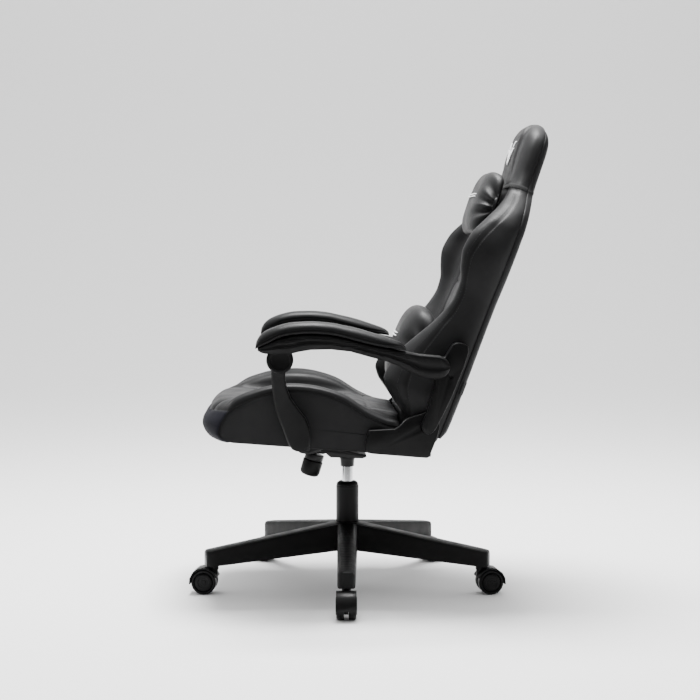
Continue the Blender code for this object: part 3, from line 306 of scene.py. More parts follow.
ZINC = zinc()
BOARD = woven("Underside cloth", (0.010, 0.010, 0.010), (0.024, 0.024, 0.024), 900.0)
WEBBING = woven("Webbing", (0.0060, 0.0060, 0.0062), (0.0120, 0.0120, 0.0124), 420.0)
DARK_THREAD = thread("Dark thread", (0.009, 0.009, 0.010))
PALE_THREAD = thread("Pale thread", (0.90, 0.90, 0.90))

SLOT_LOOK = {
    "seat_leather": SEAT_LEATHER, "rear_leather": PANEL_LEATHER, "pillow_leather": PILLOW_LEATHER,
    "pad_leather": PAD_LEATHER, "nylon": NYLON, "covers": COVERS, "castor_plastic": CASTOR,
    "black_steel": STEEL, "chrome": CHROME, "bright_steel": ZINC, "board": BOARD, "webbing": WEBBING,
}
BLACKENED = ("tension_bolt", "spring_cup", "tilt_pin")  # steel pieces of the tilt mechanism, shown painted


# ---- curves through tables
def smooth(knots, values, at, rounded=False):
    """Cubic through a table. It never overshoots, unless rounded, which suits round outlines better."""
    x = np.asarray(knots, float)
    y = np.asarray(values, float).reshape(len(x), -1)
    at = np.clip(np.asarray(at, float), x[0], x[-1])
    step = np.diff(x)[:, None]
    rise = np.diff(y, axis=0) / step
    slope = np.zeros_like(y)
    if rounded:
        slope[1:-1] = (rise[:-1] * step[1:] + rise[1:] * step[:-1]) / (step[1:] + step[:-1])
    else:
        same = rise[:-1] * rise[1:] > 0
        first = 2 * step[1:] + step[:-1]
        second = step[1:] + 2 * step[:-1]
        low = np.where(same, rise[:-1], 1.0)
        high = np.where(same, rise[1:], 1.0)
        slope[1:-1] = np.where(same, (first + second) / (first / low + second / high), 0.0)
    slope[0], slope[-1] = rise[0], rise[-1]
    i = np.clip(np.searchsorted(x, at, side="right") - 1, 0, len(x) - 2)
    h = step[i]
    t = ((at - x[i])[:, None]) / h
    made = ((2 * t**3 - 3 * t**2 + 1) * y[i] + (t**3 - 2 * t**2 + t) * h * slope[i]
            + (-2 * t**3 + 3 * t**2) * y[i + 1] + (t**3 - t**2) * h * slope[i + 1])
    return made.reshape(len(at), *np.asarray(values).shape[1:])


def table(pairs, at):
    return smooth([p[0] for p in pairs], [p[1] for p in pairs], np.atleast_1d(at))


def through(points, steps):
    """A round curve through points, with a stated number of steps in each span."""
    points = np.asarray(points, float)
    gaps = np.maximum(np.linalg.norm(np.diff(points, axis=0), axis=1), 1e-5)
    knots = np.concatenate([[0.0], np.cumsum(gaps)])
    at = [knots[0]]
    for i, count in enumerate(steps):
        at += [knots[i] + gaps[i] * (k + 1) / count for k in range(count)]
    return smooth(knots, points, at, rounded=True)


def spread(knots, spacing):
    """Positions from the first knot to the last, about spacing apart, that pass through every knot."""
    made = [knots[0]]
    for low, high in zip(knots, knots[1:]):
        count = max(1, round((high - low) / spacing))
        made += [low + (high - low) * (k + 1) / count for k in range(count)]
    return np.array(made)


def bell(distance, width):
    return np.exp(-(distance / width) ** 2)


def mirrored_section(right, count, between=()):
    """A closed outline from its right half as (across, out), with count points along its straight base."""
    left = (right if len(between) else right[:-1])[::-1] * (-1, 1)
    base = np.column_stack([np.linspace(left[-1][0], right[0][0], count + 2)[1:-1],
                            np.full(count, right[0][1])])
    return np.concatenate([right, *between, left, base])


def ease(value, low, high):
    t = np.clip((value - low) / (high - low), 0.0, 1.0)
    return t * t * (3 - 2 * t)


def ripple(points, scale, seed=0.0):
    """Smooth noise from -1 to 1 at each point."""
    flat = np.asarray(points).reshape(-1, 3)
    offset = Vector((seed * 7.31, seed * 3.17, seed * 5.73))
    made = [noise.noise(Vector(p) * scale + offset) for p in flat.tolist()]
    return np.array(made).reshape(np.asarray(points).shape[:-1])


# ---- meshes
def mark(mesh, key, values):
    """A number at each point, for a material to read."""
    layer = mesh.attributes.new(key, "FLOAT", "POINT")
    layer.data.foreach_set("value", np.asarray(values, np.float32).ravel())


def piece(name, verts, faces, look, body, marks=None, angle=None):
    """An object from points about the lift's axis, riding on a body."""
    mesh = bpy.data.meshes.new(name)
    mesh.from_pydata((np.asarray(verts, float) - SHIFT).tolist(), [], faces)
    mesh.update()
    shape = bmesh.new()
    shape.from_mesh(mesh)
    bmesh.ops.recalc_face_normals(shape, faces=shape.faces)
    shape.to_mesh(mesh)
    shape.free()
    mesh.materials.append(look)
    mesh.polygons.foreach_set("use_smooth", [True] * len(mesh.polygons))
    if angle is not None:
        mesh.set_sharp_from_angle(angle=math.radians(angle))
    for key, values in (marks or {}).items():
        mark(mesh, key, values)
    made = placed(name, mesh)
    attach(made, body)
    return made


def tube_faces(rows, cols):
    """Quads of a grid whose columns run round in a loop."""
    faces = []
    for low in range(0, (rows - 1) * cols, cols):
        for j in range(cols):
            k = (j + 1) % cols
            faces.append((low + j, low + k, low + cols + k, low + cols + j))
    return faces


def capped(rows, cols, base=0):
    """The same quads with a face across each end, from a first point's number."""
    faces = [tuple(base + v for v in quad) for quad in tube_faces(rows, cols)]
    faces.append(tuple(range(base, base + cols)))
    faces.append(tuple(range(base + (rows - 1) * cols, base + rows * cols)))
    return faces


def normals_of(grid):
    """Normals of a grid whose columns run round in a loop and whose rows are open, facing outwards."""
    across = np.roll(grid, -1, axis=1) - np.roll(grid, 1, axis=1)
    along = np.gradient(grid, axis=0)
    normal = np.cross(along, across)
    normal /= np.maximum(np.linalg.norm(normal, axis=2, keepdims=True), 1e-9)
    outward = np.sum(normal * (grid - grid.mean(axis=(0, 1))), axis=2).mean()
    return normal if outward > 0 else -normal


def body_mesh(name, grid, look, body, seam, wear_and_highlight, front_tone_and_shade=None):
    """A closed skin over a grid of rings, with a face across each end."""
    marks = {"seam": np.clip(seam, 0, 1), "wear_and_highlight": np.clip(wear_and_highlight, 0, 1)}
    if front_tone_and_shade is not None:
        marks["front_tone_and_shade"] = np.clip(front_tone_and_shade, 0, 1)
    return piece(name, grid.reshape(-1, 3), capped(*grid.shape[:2]), look, body, marks)


def closing_rows(ring, spine, reach):
    """Rings from an end outline in towards a spine line, each with its distances from the outline."""
    start, end = (np.asarray(p, float) for p in spine)
    line = end - start
    t = np.clip(((ring - start) @ line) / (line @ line), 0.0, 1.0)[:, None]
    target = start + t * line
    rows = []
    for share in reach:
        row = ring + (target - ring) * share
        away = np.linalg.norm(row[:, None] - ring[None], axis=2).min(axis=1)
        rows.append((row, away))
    return rows


def arc_from(line, index):
    """Signed distance along each row of points from one column."""
    gaps = np.linalg.norm(np.diff(line, axis=1), axis=2)
    run = np.concatenate([np.zeros((len(line), 1)), np.cumsum(gaps, axis=1)], axis=1)
    return run - run[:, index:index + 1]


def band(name, surface, normals, replaced=None):
    """Elastic over a strip of a cushion: its edges sink into the cover, its middle stands proud."""
    rows, cols = surface.shape[:2]
    rise = np.sin(np.linspace(0, math.pi, rows))[:, None, None]
    outer = surface + normals * (0.0016 * rise - 0.0006)
    inner = surface - normals * 0.0016
    loops = np.concatenate([outer, inner[::-1]])
    verts = loops.transpose(1, 0, 2).reshape(-1, 3)
    made = piece(name, verts, capped(cols, 2 * rows), WEBBING, "back")
    if replaced:
        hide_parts(replaced)


def sampled(grid, row, col):
    """Points of a grid at fractional rows and columns."""
    i, j = np.floor(row).astype(int), np.floor(col).astype(int)
    u, v = (row - i)[:, None], (col - j)[:, None]
    near = grid[i, j] * (1 - v) + grid[i, j + 1] * v
    far = grid[i + 1, j] * (1 - v) + grid[i + 1, j + 1] * v
    return near * (1 - u) + far * u


# A stitch's shape from end to end: (place in its length, thickness, rise) as shares.
STITCH = ((-0.5, 0.35, -0.6), (-0.3, 0.85, 0.25), (0.0, 1.0, 0.6), (0.3, 0.85, 0.25), (0.5, 0.35, -0.6))
STITCH_SIDES = 6


def stitches(name, lines, look, body, pitch=0.0072, length=0.0046, thick=0.00045, lift=0.0):
    """Rows of thread. Each line is (points, normals), both about the lift's axis."""
    verts, faces = [], []
    for points, normals in lines:
        points = np.asarray(points, float)
        run = np.concatenate([[0.0], np.cumsum(np.linalg.norm(np.diff(points, axis=0), axis=1))])
        count = int(run[-1] / pitch)
        for k in range(count):
            middle = (k + 0.5) * pitch
            spots = [middle + length * share for share, _, _ in STITCH]
            path = np.stack([np.interp(spots, run, points[:, a]) for a in range(3)], axis=1)
            up = np.array([np.interp(middle, run, normals[:, a]) for a in range(3)])
            up /= np.linalg.norm(up)
            along = path[-1] - path[0]
            along /= max(np.linalg.norm(along), 1e-9)
            side = np.cross(along, up)
            faces += capped(len(STITCH), STITCH_SIDES, len(verts))
            for spot, (_, size, rise) in zip(path, STITCH):
                for a in range(STITCH_SIDES):
                    turn = 2 * math.pi * a / STITCH_SIDES
                    off = (math.cos(turn) * side + math.sin(turn) * up) * thick * size
                    verts.append(spot + off + up * (lift + thick * rise))
    return piece(name, verts, faces, look, body)


# ---- seat
# The top's heights from front to rear: down its middle, along the bolster's crest and at the side
# seam. The noses go on down round the front as (y, z), at the middle and at the side. SEAT_WEIGHTS
# mixes the three heights across the seat, as (across, middle, crest, seam).
SEAT_Y = (-0.270, -0.220, -0.150, -0.080, -0.020, 0.040, 0.085)
SEAT_MIDDLE = (0.483, 0.480, 0.477, 0.475, 0.470, 0.463, 0.455)
SEAT_CREST = (0.491, 0.512, 0.524, 0.519, 0.500, 0.463, 0.444)
SEAT_SEAM = (0.473, 0.496, 0.512, 0.507, 0.487, 0.451, 0.430)
NOSE_MIDDLE = ((-0.311, 0.479), (-0.338, 0.453), (-0.353, 0.422), (-0.341, 0.400), (-0.312, 0.384))
NOSE_SIDE = ((-0.283, 0.468), (-0.296, 0.447), (-0.306, 0.424), (-0.308, 0.408), (-0.300, 0.398))
SEAT_WEIGHTS = (
    (0.0, 1.0, 0.0, 0.0), (0.080, 1.0, 0.0, 0.0), (0.148, 0.98, 0.02, 0.0),
    (0.158, 0.96, 0.04, 0.0), (0.164, 0.64, 0.36, 0.0), (0.170, 0.37, 0.63, 0.0), (0.178, 0.22, 0.78, 0.0),
    (0.190, 0.13, 0.87, 0.0), (0.208, 0.05, 0.95, 0.0), (0.224, 0.01, 0.99, 0.0), (0.236, 0.0, 0.97, 0.03),
    (0.244, 0.0, 0.62, 0.38), (0.250, 0.0, 0.0, 1.0),
)
PAN_FRONT = -0.284
SEAT_CHANNEL = 0.150  # the sewn channel between the middle and each bolster, across from the middle
SEAT_CROSS_LINES = (-0.225, -0.085, 0.045)
FOOT_GAP = 0.0065  # room between the seat's rear and the backrest's foot
FOOT_END = 256  # where the seat's rear hollow ends, in degrees about the hinge
SIDE_ROWS = (0.02, 0.05, 0.09, 0.14, 0.22, 0.34, 0.50, 0.68, 0.85, 0.96)


def seat_under(y):
    """The height of the seat plate's sloping plane."""
    return 0.367 - 0.0769 * y


def seat_outline(x):
    """The seat's outline in a plane of constant x, from the rear underside forwards and round."""
    size = abs(x)
    knots = [s[0] for s in SEAT_WEIGHTS]
    middle, crest, seam = smooth(knots, [s[1:] for s in SEAT_WEIGHTS], [size])[0]
    edge = (size / SEAT_HALF) ** 4
    base = 0.0123 if size < 0.2455 else 0.0020
    flat = [(0.186, seat_under(0.186) + base), (0.0, seat_under(0.0) + base),
            (PAN_FRONT - 0.0010, seat_under(PAN_FRONT) + base)]
    front = [(PAN_FRONT - 0.0012, 0.379 + 0.0125 * edge)]
    for inner, outer in zip(reversed(NOSE_MIDDLE), reversed(NOSE_SIDE)):
        front.append((inner[0] + (outer[0] - inner[0]) * edge, inner[1] + (outer[1] - inner[1]) * edge))
    for y, a, b, c in zip(SEAT_Y, SEAT_MIDDLE, SEAT_CREST, SEAT_SEAM):
        front.append((y, a * middle + b * crest + c * seam))
    end = SEAT_MIDDLE[-1] * middle + SEAT_CREST[-1] * crest + SEAT_SEAM[-1] * seam - 0.008
    reach = BACK_R + FOOT_GAP
    start = 180 - math.degrees(math.asin((end - HINGE[1]) / reach))
    for k in range(6):
        a = math.radians(start + (FOOT_END - start) * k / 5)
        front.append((HINGE[0] + reach * math.cos(a), HINGE[1] + reach * math.sin(a)))
    low = through(flat, (14, 20))[:-1]
    top = through(front, (5, 6, 6, 7, 8, 9, 11, 14, 14, 12, 12, 10, 3, 4, 4, 4, 4, 4))
    ring = np.concatenate([low, through([flat[-1], front[0]], (3,))[:-1], top])
    return np.column_stack([np.full(len(ring), x), ring])


def seat_side(ring, sign):
    """The side panel: rows in from the side seam, pulled in beside it and flat in the middle."""
    spine = ((sign * SEAT_HALF, -0.225, 0.437), (sign * SEAT_HALF, 0.118, 0.398))
    flat = ring.copy()
    flat[:, 0] = sign * (SEAT_HALF - 0.0002)
    rows = []
    for row, away in closing_rows(flat, spine, SIDE_ROWS):
        upper = ease(row[:, 2] - seat_under(row[:, 1]), 0.006, 0.020)
        pulled = 0.0034 * bell(away, 0.0046) * upper
        row[:, 0] -= sign * (pulled + 0.0004 * (1 + ripple(row, 15.0, 5.0)))
        rows.append(row)
    return rows


def build_seat():
    inner = SEAT_CHANNEL
    beside = [inner + gap for gap in (-0.010, -0.004, -0.0015, 0.0, 0.0015, 0.004, 0.010)]
    half = spread([0.0, *beside, 0.226, 0.238, 0.244, 0.245, 0.247, 0.2488, SEAT_HALF], 0.005)
    stations = np.concatenate([-half[:0:-1], half])
    grid = np.stack([seat_outline(x) for x in stations])
    normals = normals_of(grid)
    x = np.abs(grid[..., 0])
    y, z = grid[..., 1], grid[..., 2]
    padded = (z > seat_under(y) + 0.016) | (y < PAN_FRONT - 0.004)
    hidden = (y > 0.105) & (np.hypot(y - HINGE[0], z - HINGE[1]) < BACK_R + 0.0085)
    soft = padded * ~hidden * 1.0

    # The front panel is joined to the top along a line across the nose.
    nose = 0.456 + 0.010 * (x / SEAT_HALF) ** 2
    front = ease(-y, 0.270, 0.290)
    below = front * ease(nose - z, 0.0, 0.003)
    to_nose = np.abs(z - nose)
    # The channel between the middle and each bolster stops at the front panel and deepens to the rear.
    to_channel = np.abs(x - inner)
    deep = 0.0030 + 0.0040 * ease(y, -0.02, 0.07)
    shape = -deep * bell(to_channel, 0.0040) * (1 - below)
    shape -= 0.0030 * bell(to_channel, 0.016) * (1 - below)
    shape -= 0.0028 * bell(to_nose, 0.0034) * front
    shape += 0.0020 * below * ease(nose - z, 0.004, 0.030)
    # Crowned middle, with sewn cross lines.
    crown = np.clip(1 - (x / inner) ** 2, 0, 1)
    on_top = (z > 0.445) * (1 - below)
    inside = ease(inner - x, 0.0, 0.006)
    shape += 0.0035 * crown * on_top * ease(-y, -0.06, 0.02)
    for line in SEAT_CROSS_LINES:
        shape -= (0.0022 * bell(y - line, 0.0032) + 0.0011 * bell(y - line, 0.014)) * inside * on_top
    # Puckers where the cover is pulled into its seams, and long slack waves.
    pull = ripple(grid * (1.0, 1.0, 0.4), 42.0, 1.0)
    beside_seams = bell(to_channel, 0.016) * (1 - below) + bell(to_nose, 0.014) * front
    shape += 0.0010 * pull * beside_seams
    shape += 0.0008 * ripple(grid, 14.0, 2.0)
    shape += 0.0008 * ripple(grid * (1.6, 1.0, 1.0), 26.0, 3.0) * bell(SEAT_HALF - x, 0.02)
    # Every panel is pulled in at the side seam.
    shape -= 0.0026 * bell(SEAT_HALF - x, 0.0034)
    grid = grid + normals * (shape * soft)[..., None]
    grid[..., 0] = np.clip(grid[..., 0], -SEAT_HALF, SEAT_HALF)

    # The seams are dark, and shade is painted into the hollow at the foot of each bolster.
    seam = bell(to_channel, 0.0026) * (1 - below) * on_top + bell(to_nose, 0.0024) * front
    # Painted shade on the inner face of each bolster, beside the channel.
    seam = seam + 0.70 * bell(x - 0.170, 0.015) * (1 - below) * on_top * (x > inner)
    seam = seam + bell(SEAT_HALF - x, 0.0020) * soft
    # Lighter along each bolster's outer crest.
    wear_and_highlight = 0.30 * bell(x - 0.232, 0.008) * ease(z, 0.46, 0.50) * (0.6 + 0.4 * pull)
    # Painted highlight on the seat's front top, where the middle turns down to the nose.
    wear_and_highlight = wear_and_highlight + 0.6 * ease(-y, 0.19, 0.27) * (1 - below) * inside * (0.7 + 0.3 * pull)

    right = seat_side(grid[0], -1)
    left = seat_side(grid[-1], 1)
    rows = right[::-1] + list(grid) + left
    pad = np.zeros((len(right), grid.shape[1]))
    seam = np.concatenate([pad, seam, pad])
    wear_and_highlight = np.concatenate([pad, wear_and_highlight, pad])
    # The front panel under the nose line is painted darker and bluer: its own tone, and painted shade.
    front_tone_and_shade = np.concatenate([pad, below, pad])
    top = z[0] > seat_under(y[0]) + 0.016
    for k, share in enumerate((0.8, 0.3)):
        seam[len(right) - 1 - k] = seam[-len(left) + k] = share * top
    seat = body_mesh("seat_upholstery", np.stack(rows), SEAT_LEATHER, "seat",
                     seam, wear_and_highlight, front_tone_and_shade)
    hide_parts("seat_cushion")

    normals = normals_of(grid)
    lines = []
    mid = len(grid) // 2
    used = np.flatnonzero((soft[mid] > 0) & (y[mid] < 0.098) & (z[mid] > 0.388))
    for sign in (-1, 1):
        for gap in (-0.0052, 0.0052):
            row = np.interp(sign * (inner + gap), stations, np.arange(len(stations)))
            i = min(int(row), len(stations) - 2)
            f = row - i
            lines.append((grid[i, used] * (1 - f) + grid[i + 1, used] * f, normals[i, used]))
    stitches("seat_stitching", lines, DARK_THREAD, "seat")


# ---- backrest
# Tables up the backrest's slope from the hinge, as (up, value). Half widths and CREST_X are across;
# the others are how far out of the backrest's plane each line of the section lies.
BACK_HALF = (
    (-0.05, 0.225), (0.0, 0.236), (0.07, 0.245), (0.20, 0.245), (0.30, 0.250), (0.38, 0.264),
    (0.44, 0.270), (0.49, 0.266), (0.53, 0.248), (0.562, 0.214), (0.592, 0.174), (0.63, 0.157),
    (0.70, 0.142), (0.722, 0.134), (0.737, 0.122), (0.748, 0.106), (0.757, 0.086),
    (0.764, 0.060), (0.769, 0.030),
)
BACK_MIDDLE = (
    (-0.05, 0.020), (-0.03, 0.045), (0.0, 0.0555), (0.03, 0.048), (0.07, 0.036), (0.12, 0.028),
    (0.20, 0.022), (0.30, 0.015), (0.40, 0.006), (0.50, -0.002), (0.56, -0.003), (0.62, 0.001),
    (0.66, 0.0085), (0.70, 0.0115), (0.725, 0.0110), (0.742, 0.0070), (0.755, 0.0000), (0.764, -0.0095),
    (0.769, -0.0185),
)
BACK_CREST = (
    (-0.05, 0.020), (-0.03, 0.045), (0.0, 0.0555), (0.02, 0.080), (0.045, 0.111), (0.07, 0.125),
    (0.10, 0.122), (0.145, 0.110), (0.19, 0.087), (0.22, 0.071), (0.27, 0.049), (0.31, 0.041),
    (0.34, 0.043), (0.375, 0.055), (0.415, 0.064), (0.45, 0.059), (0.50, 0.036), (0.545, 0.013),
    (0.585, 0.002), (0.62, 0.001), (0.66, 0.003), (0.70, 0.0045), (0.725, 0.0035), (0.742, -0.0010),
    (0.755, -0.0075), (0.764, -0.0150), (0.769, -0.0215),
)
BACK_SEAM = (
    (-0.05, 0.010), (0.0, 0.036), (0.045, 0.066), (0.07, 0.076), (0.11, 0.078), (0.155, 0.068),
    (0.205, 0.053), (0.24, 0.042), (0.27, 0.032), (0.31, 0.028), (0.36, 0.038), (0.40, 0.044),
    (0.44, 0.036), (0.48, 0.019), (0.525, -0.003), (0.575, -0.016), (0.62, -0.017), (0.70, -0.017),
    (0.730, -0.0180), (0.750, -0.0205), (0.764, -0.0235), (0.769, -0.0250),
)
CREST_X = (
    (-0.05, 0.17), (0.10, 0.175), (0.22, 0.205), (0.30, 0.225), (0.44, 0.240), (0.49, 0.228),
    (0.54, 0.195), (0.585, 0.142), (0.63, 0.096), (0.70, 0.078), (0.740, 0.066), (0.758, 0.046),
    (0.769, 0.018),
)
BACK_REAR = ((-0.047, -0.032), (-0.022, -0.040), (0.70, -0.040), (0.726, -0.0398), (0.740, -0.0392),
             (0.750, -0.0378), (0.758, -0.0352), (0.764, -0.0318), (0.769, -0.0272))
SECTION_STEPS = (3, 16, 3, 4, 6, 6, 5, 5)
HEAD_LINE = 0.588  # the seam under the headrest
BACK_LINES = (0.255, 0.345, 0.452, HEAD_LINE)


def on_back(x, up, out):
    """Points given across, up the backrest's slope from the hinge, and out of its front."""
    x, up, out = np.broadcast_arrays(np.asarray(x, float), up, out)
    return np.stack([x, HINGE[0] + up * SIN - out * COS, HINGE[1] + up * COS + out * SIN], axis=-1)


def laid_on_back(rows, ups):
    """Sections laid up the backrest: across, up and out at each point, the points and their normals."""
    across, out = np.moveaxis(np.stack(rows), -1, 0)
    up = np.broadcast_to(ups[:, None], across.shape)
    grid = on_back(across, up, out)
    return across, up, out, grid, normals_of(grid)


def back_values(up):
    tables = (BACK_HALF, BACK_MIDDLE, BACK_CREST, BACK_SEAM, CREST_X, BACK_REAR)
    return [float(table(t, up)[0]) for t in tables]


def back_section(up):
    """The cushion's left half as (x, out), from the rear round to the foot of the bolster's inner face."""
    half, middle, crest, seam, crest_x, rear = back_values(up)
    foot = crest_x * 0.72
    rise = crest - middle
    corner = 0.0010
    below = min(0.008, (seam - rear) * 0.3)
    return [
        (half - corner, rear), (half, rear + corner), (half, seam - below), (half - 0.003, seam),
        (half * 0.55 + crest_x * 0.45, crest * 0.75 + seam * 0.25), (crest_x, crest),
        (crest_x * 0.75 + foot * 0.25, middle + rise * 0.86),
        (crest_x * 0.4 + foot * 0.6, middle + rise * 0.28), (foot * 0.86, middle),
    ]


def strap_rows(ups):
    return [i for i, u in enumerate(ups) if STRAP_UPS[0] < u < STRAP_UPS[1]]


def build_back():
    """The backrest's cushion and headrest in one skin, sewn across, with its strap and its stitching."""
    ups = np.append(spread([-0.047, -0.022, 0.05, 0.585, 0.72, 0.740], 0.0052),
                    (0.745, 0.750, 0.754, 0.758, 0.7615, 0.7645, 0.767, 0.7685, 0.769))
    front_steps = 14
    rows = []
    for up in ups:
        right = through(back_section(up), SECTION_STEPS)
        foot = right[-1]
        across = np.column_stack([np.linspace(foot[0], -foot[0], 2 * front_steps + 1)[1:-1],
                                  np.full(2 * front_steps - 1, foot[1])])
        rows.append(mirrored_section(right, 18, [across]))
    x, up, out, grid, normals = laid_on_back(rows, ups)
    column = np.arange(grid.shape[1])
    seam_at = sum(SECTION_STEPS[:3])
    crest_at = sum(SECTION_STEPS[:5])
    foot_at = sum(SECTION_STEPS)
    mirror = 2 * foot_at + 2 * front_steps

    # Distances along the section from a column and from its mirror image.
    to_seam, to_foot, to_crest = (
        np.minimum(np.abs(arc_from(grid, at)), np.abs(arc_from(grid, mirror - at)))
        for at in (seam_at, foot_at, crest_at))
    inside = (column > foot_at) & (column < mirror - foot_at)
    front = (column >= 3) & (column <= mirror - 3)
    rear_free = ease(out - np.array([back_values(u)[5] for u in ups])[:, None], 0.004, 0.014)
    low_free = ease(up, 0.0, 0.05)
    top_free = ease(0.765 - up, 0.0, 0.03)
    soft = front * rear_free * (0.15 + 0.85 * low_free) * top_free

    # Each cross line spans the middle, and the one under the headrest spans the whole front.
    whole_front = np.abs(column - mirror / 2) < mirror / 2 - seam_at
    lines = [(line, 1.0 * (whole_front if line == HEAD_LINE else inside)) for line in BACK_LINES]
    body_part = 1 - ease(up, 0.575, 0.605)
    shape = -0.0020 * bell(to_seam, 0.0036) * body_part
    shape -= (0.0038 * bell(to_foot, 0.0040) + 0.0020 * bell(to_foot, 0.014)) * body_part
    half_foot = np.abs(x[:, foot_at])[:, None]
    crown = np.clip(1 - (x / np.maximum(half_foot, 1e-3)) ** 2, 0, 1) * inside
    shape += 0.0040 * crown * body_part
    for line, reach in lines:
        shape -= (0.0026 * bell(up - line, 0.0034) + 0.0012 * bell(up - line, 0.015)) * reach
    pull = ripple(grid * (0.5, 1.0, 1.0), 40.0, 11.0)
    shape += 0.0010 * pull * (bell(to_seam, 0.014) + bell(to_foot, 0.016))
    shape += 0.0009 * ripple(grid, 13.0, 12.0)
    shape += 0.0014 * ripple(grid * (1.0, 1.6, 1.6), 26.0, 13.0) * bell(up - HEAD_LINE, 0.03)
    shape += 0.0008 * bell(to_crest, 0.03) * ripple(grid, 22.0, 14.0)
    grid = grid + normals * (shape * soft)[..., None]

    seam = (0.6 * bell(to_seam, 0.0026) + bell(to_foot, 0.0030)) * body_part * front
    for line, reach in lines:
        seam = seam + (0.35 if line == HEAD_LINE else 0.8) * bell(up - line, 0.0026) * reach
    # Lighter along each bolster's crest.
    wear_and_highlight = 0.22 * bell(to_crest, 0.012) * (0.6 + 0.4 * pull) * ease(up, 0.05, 0.1)
    back = body_mesh("back_upholstery", grid, SEAT_LEATHER, "back", seam, wear_and_highlight)
    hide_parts("back_cushion")

    normals = normals_of(grid)
    stitched = []
    rows_used = [i for i, u in enumerate(ups) if 0.03 < u < 0.580]
    for index, gap in ((seam_at, -2), (seam_at, 2), (foot_at, 1)):
        for j in (index + gap, mirror - index - gap):
            stitched.append((grid[rows_used, j], normals[rows_used, j]))
    stitches("back_stitching", stitched, DARK_THREAD, "back")
    cross = []
    for line in BACK_LINES:
        for gap in (-0.0055, 0.0055):
            i = int(np.argmin(np.abs(ups - line - gap)))
            cross.append((grid[i, inside], normals[i, inside]))
    stitches("back_cross_stitching", cross, DARK_THREAD, "back")

    strap = strap_rows(ups)
    band("head_strap_front", grid[strap, 2:mirror - 1], normals[strap, 2:mirror - 1], "head_strap")

    # A plain double chevron embroidered on the headrest.
    motif = []
    for tip in (0.672, 0.654):
        for sign in (-1, 1):
            spots = np.linspace(0.0, 1.0, 12)
            row = np.interp(tip + 0.040 * spots, ups, np.arange(len(ups)))
            foot_x = np.interp(row, np.arange(len(ups)), x[:, foot_at])
            col = foot_at + front_steps * (1 - sign * 0.034 * spots / foot_x)
            motif.append((sampled(grid, row, col), sampled(normals, row, col)))
    stitches("headrest_motif", motif, PALE_THREAD, "back",
             pitch=0.0026, length=0.0034, thick=0.0020, lift=0.0004)


PANEL_THICK = (
    (-0.022, 0.008), (0.0, 0.016), (0.03, 0.017), (0.69, 0.017),
    (0.715, 0.0155), (0.730, 0.0125), (0.742, 0.0080), (0.750, 0.0030),
)
PANEL_LINES = (0.075, 0.50)  # the sewn lines across it
PANEL_BORDER = 0.034


def panel_values(up):
    """The panel's half width, its front face's place and its thickness."""
    values = back_values(up)
    return values[0] - 0.0002, values[5] - 0.0002, float(table(PANEL_THICK, up)[0])


def build_panel():
    """The soft panel over the backrest's rear, with a sewn border and two lines across it."""
    ups = spread([-0.022, -0.010, 0.05, 0.585, 0.70, 0.735, 0.75], 0.0055)
    rows = []
    for up in ups:
        half, front, thick = panel_values(up)
        rear = front - thick
        right = through([(half - 0.0006, front), (half, front - 0.0008),
                         (half - 0.0015, front - thick * 0.45), (half - 0.010, rear + thick * 0.14),
                         (half - 0.028, rear), (0.0, rear - 0.001)], (2, 3, 4, 4, 22))
        rows.append(mirrored_section(right, 12))
    x, up, out, grid, normals = laid_on_back(rows, ups)
    half, front_line, thick = np.array([panel_values(u) for u in ups]).T[..., None]
    rearward = ease(front_line - out, thick * 0.3, thick * 0.8)
    ends = ease(up, -0.02, 0.02) * ease(0.75 - up, 0.0, 0.02)
    border = half - np.abs(x)
    to_border = np.abs(border - PANEL_BORDER)
    to_mid = np.abs(np.abs(x) - half * 0.40)
    to_foot, to_line = (np.abs(up - line) for line in PANEL_LINES)
    inner = ease(border, PANEL_BORDER - 0.004, PANEL_BORDER + 0.002)
    shape = -0.0024 * bell(to_border, 0.0034)
    shape -= 0.0020 * bell(to_mid, 0.0034) * ease(up, 0.09, 0.11) * ease(PANEL_LINES[1] - up, 0.0, 0.01)
    shape -= 0.0022 * (bell(to_line, 0.0034) + bell(to_foot, 0.0034)) * inner
    shape += 0.0010 * ripple(grid, 11.0, 21.0)
    shape += 0.0006 * ripple(grid, 30.0, 22.0) * bell(to_border, 0.016)
    shape += 0.0006 * ripple(grid, 36.0, 23.0) * bell(to_line, 0.018)
    grid = grid + normals * (shape * rearward * ends)[..., None]
    sewn_across = 0.8 * (bell(to_line, 0.0026) + bell(to_foot, 0.0026)) * inner
    seam = (bell(to_border, 0.0026) + sewn_across) * rearward
    wear_and_highlight = 0.25 * bell(border - 0.010, 0.008) * rearward
    panel = body_mesh("back_panel", grid, PANEL_LEATHER, "back", seam, wear_and_highlight)
    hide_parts("back_rear_panel")

    normals = normals_of(grid)
    strap = strap_rows(ups)
    band("head_strap_rear", grid[strap, 1:-14], normals[strap, 1:-14])
    rows_used = [i for i, u in enumerate(ups) if 0.0 < u < 0.735]
    lines = []
    for sign in (-1, 1):
        for gap in (0.029, 0.039):
            points, ups_out = [], []
            for i in rows_used:
                rear_side = np.flatnonzero(rearward[i] > 0.9)
                away = np.abs(x[i, rear_side] - sign * (half[i, 0] - gap))
                j = rear_side[int(np.argmin(away))]
                points.append(grid[i, j])
                ups_out.append(normals[i, j])
            lines.append((np.array(points), np.array(ups_out)))
    for line in PANEL_LINES:
        for gap in (-0.0055, 0.0055):
            i = int(np.argmin(np.abs(ups - line - gap)))
            used = (rearward[i] > 0.9) & (border[i] > PANEL_BORDER + 0.002)
            lines.append((grid[i, used], normals[i, used]))
    stitches("panel_stitching", lines, DARK_THREAD, "back")


# ---- pillows
LABEL_HALF = 0.060


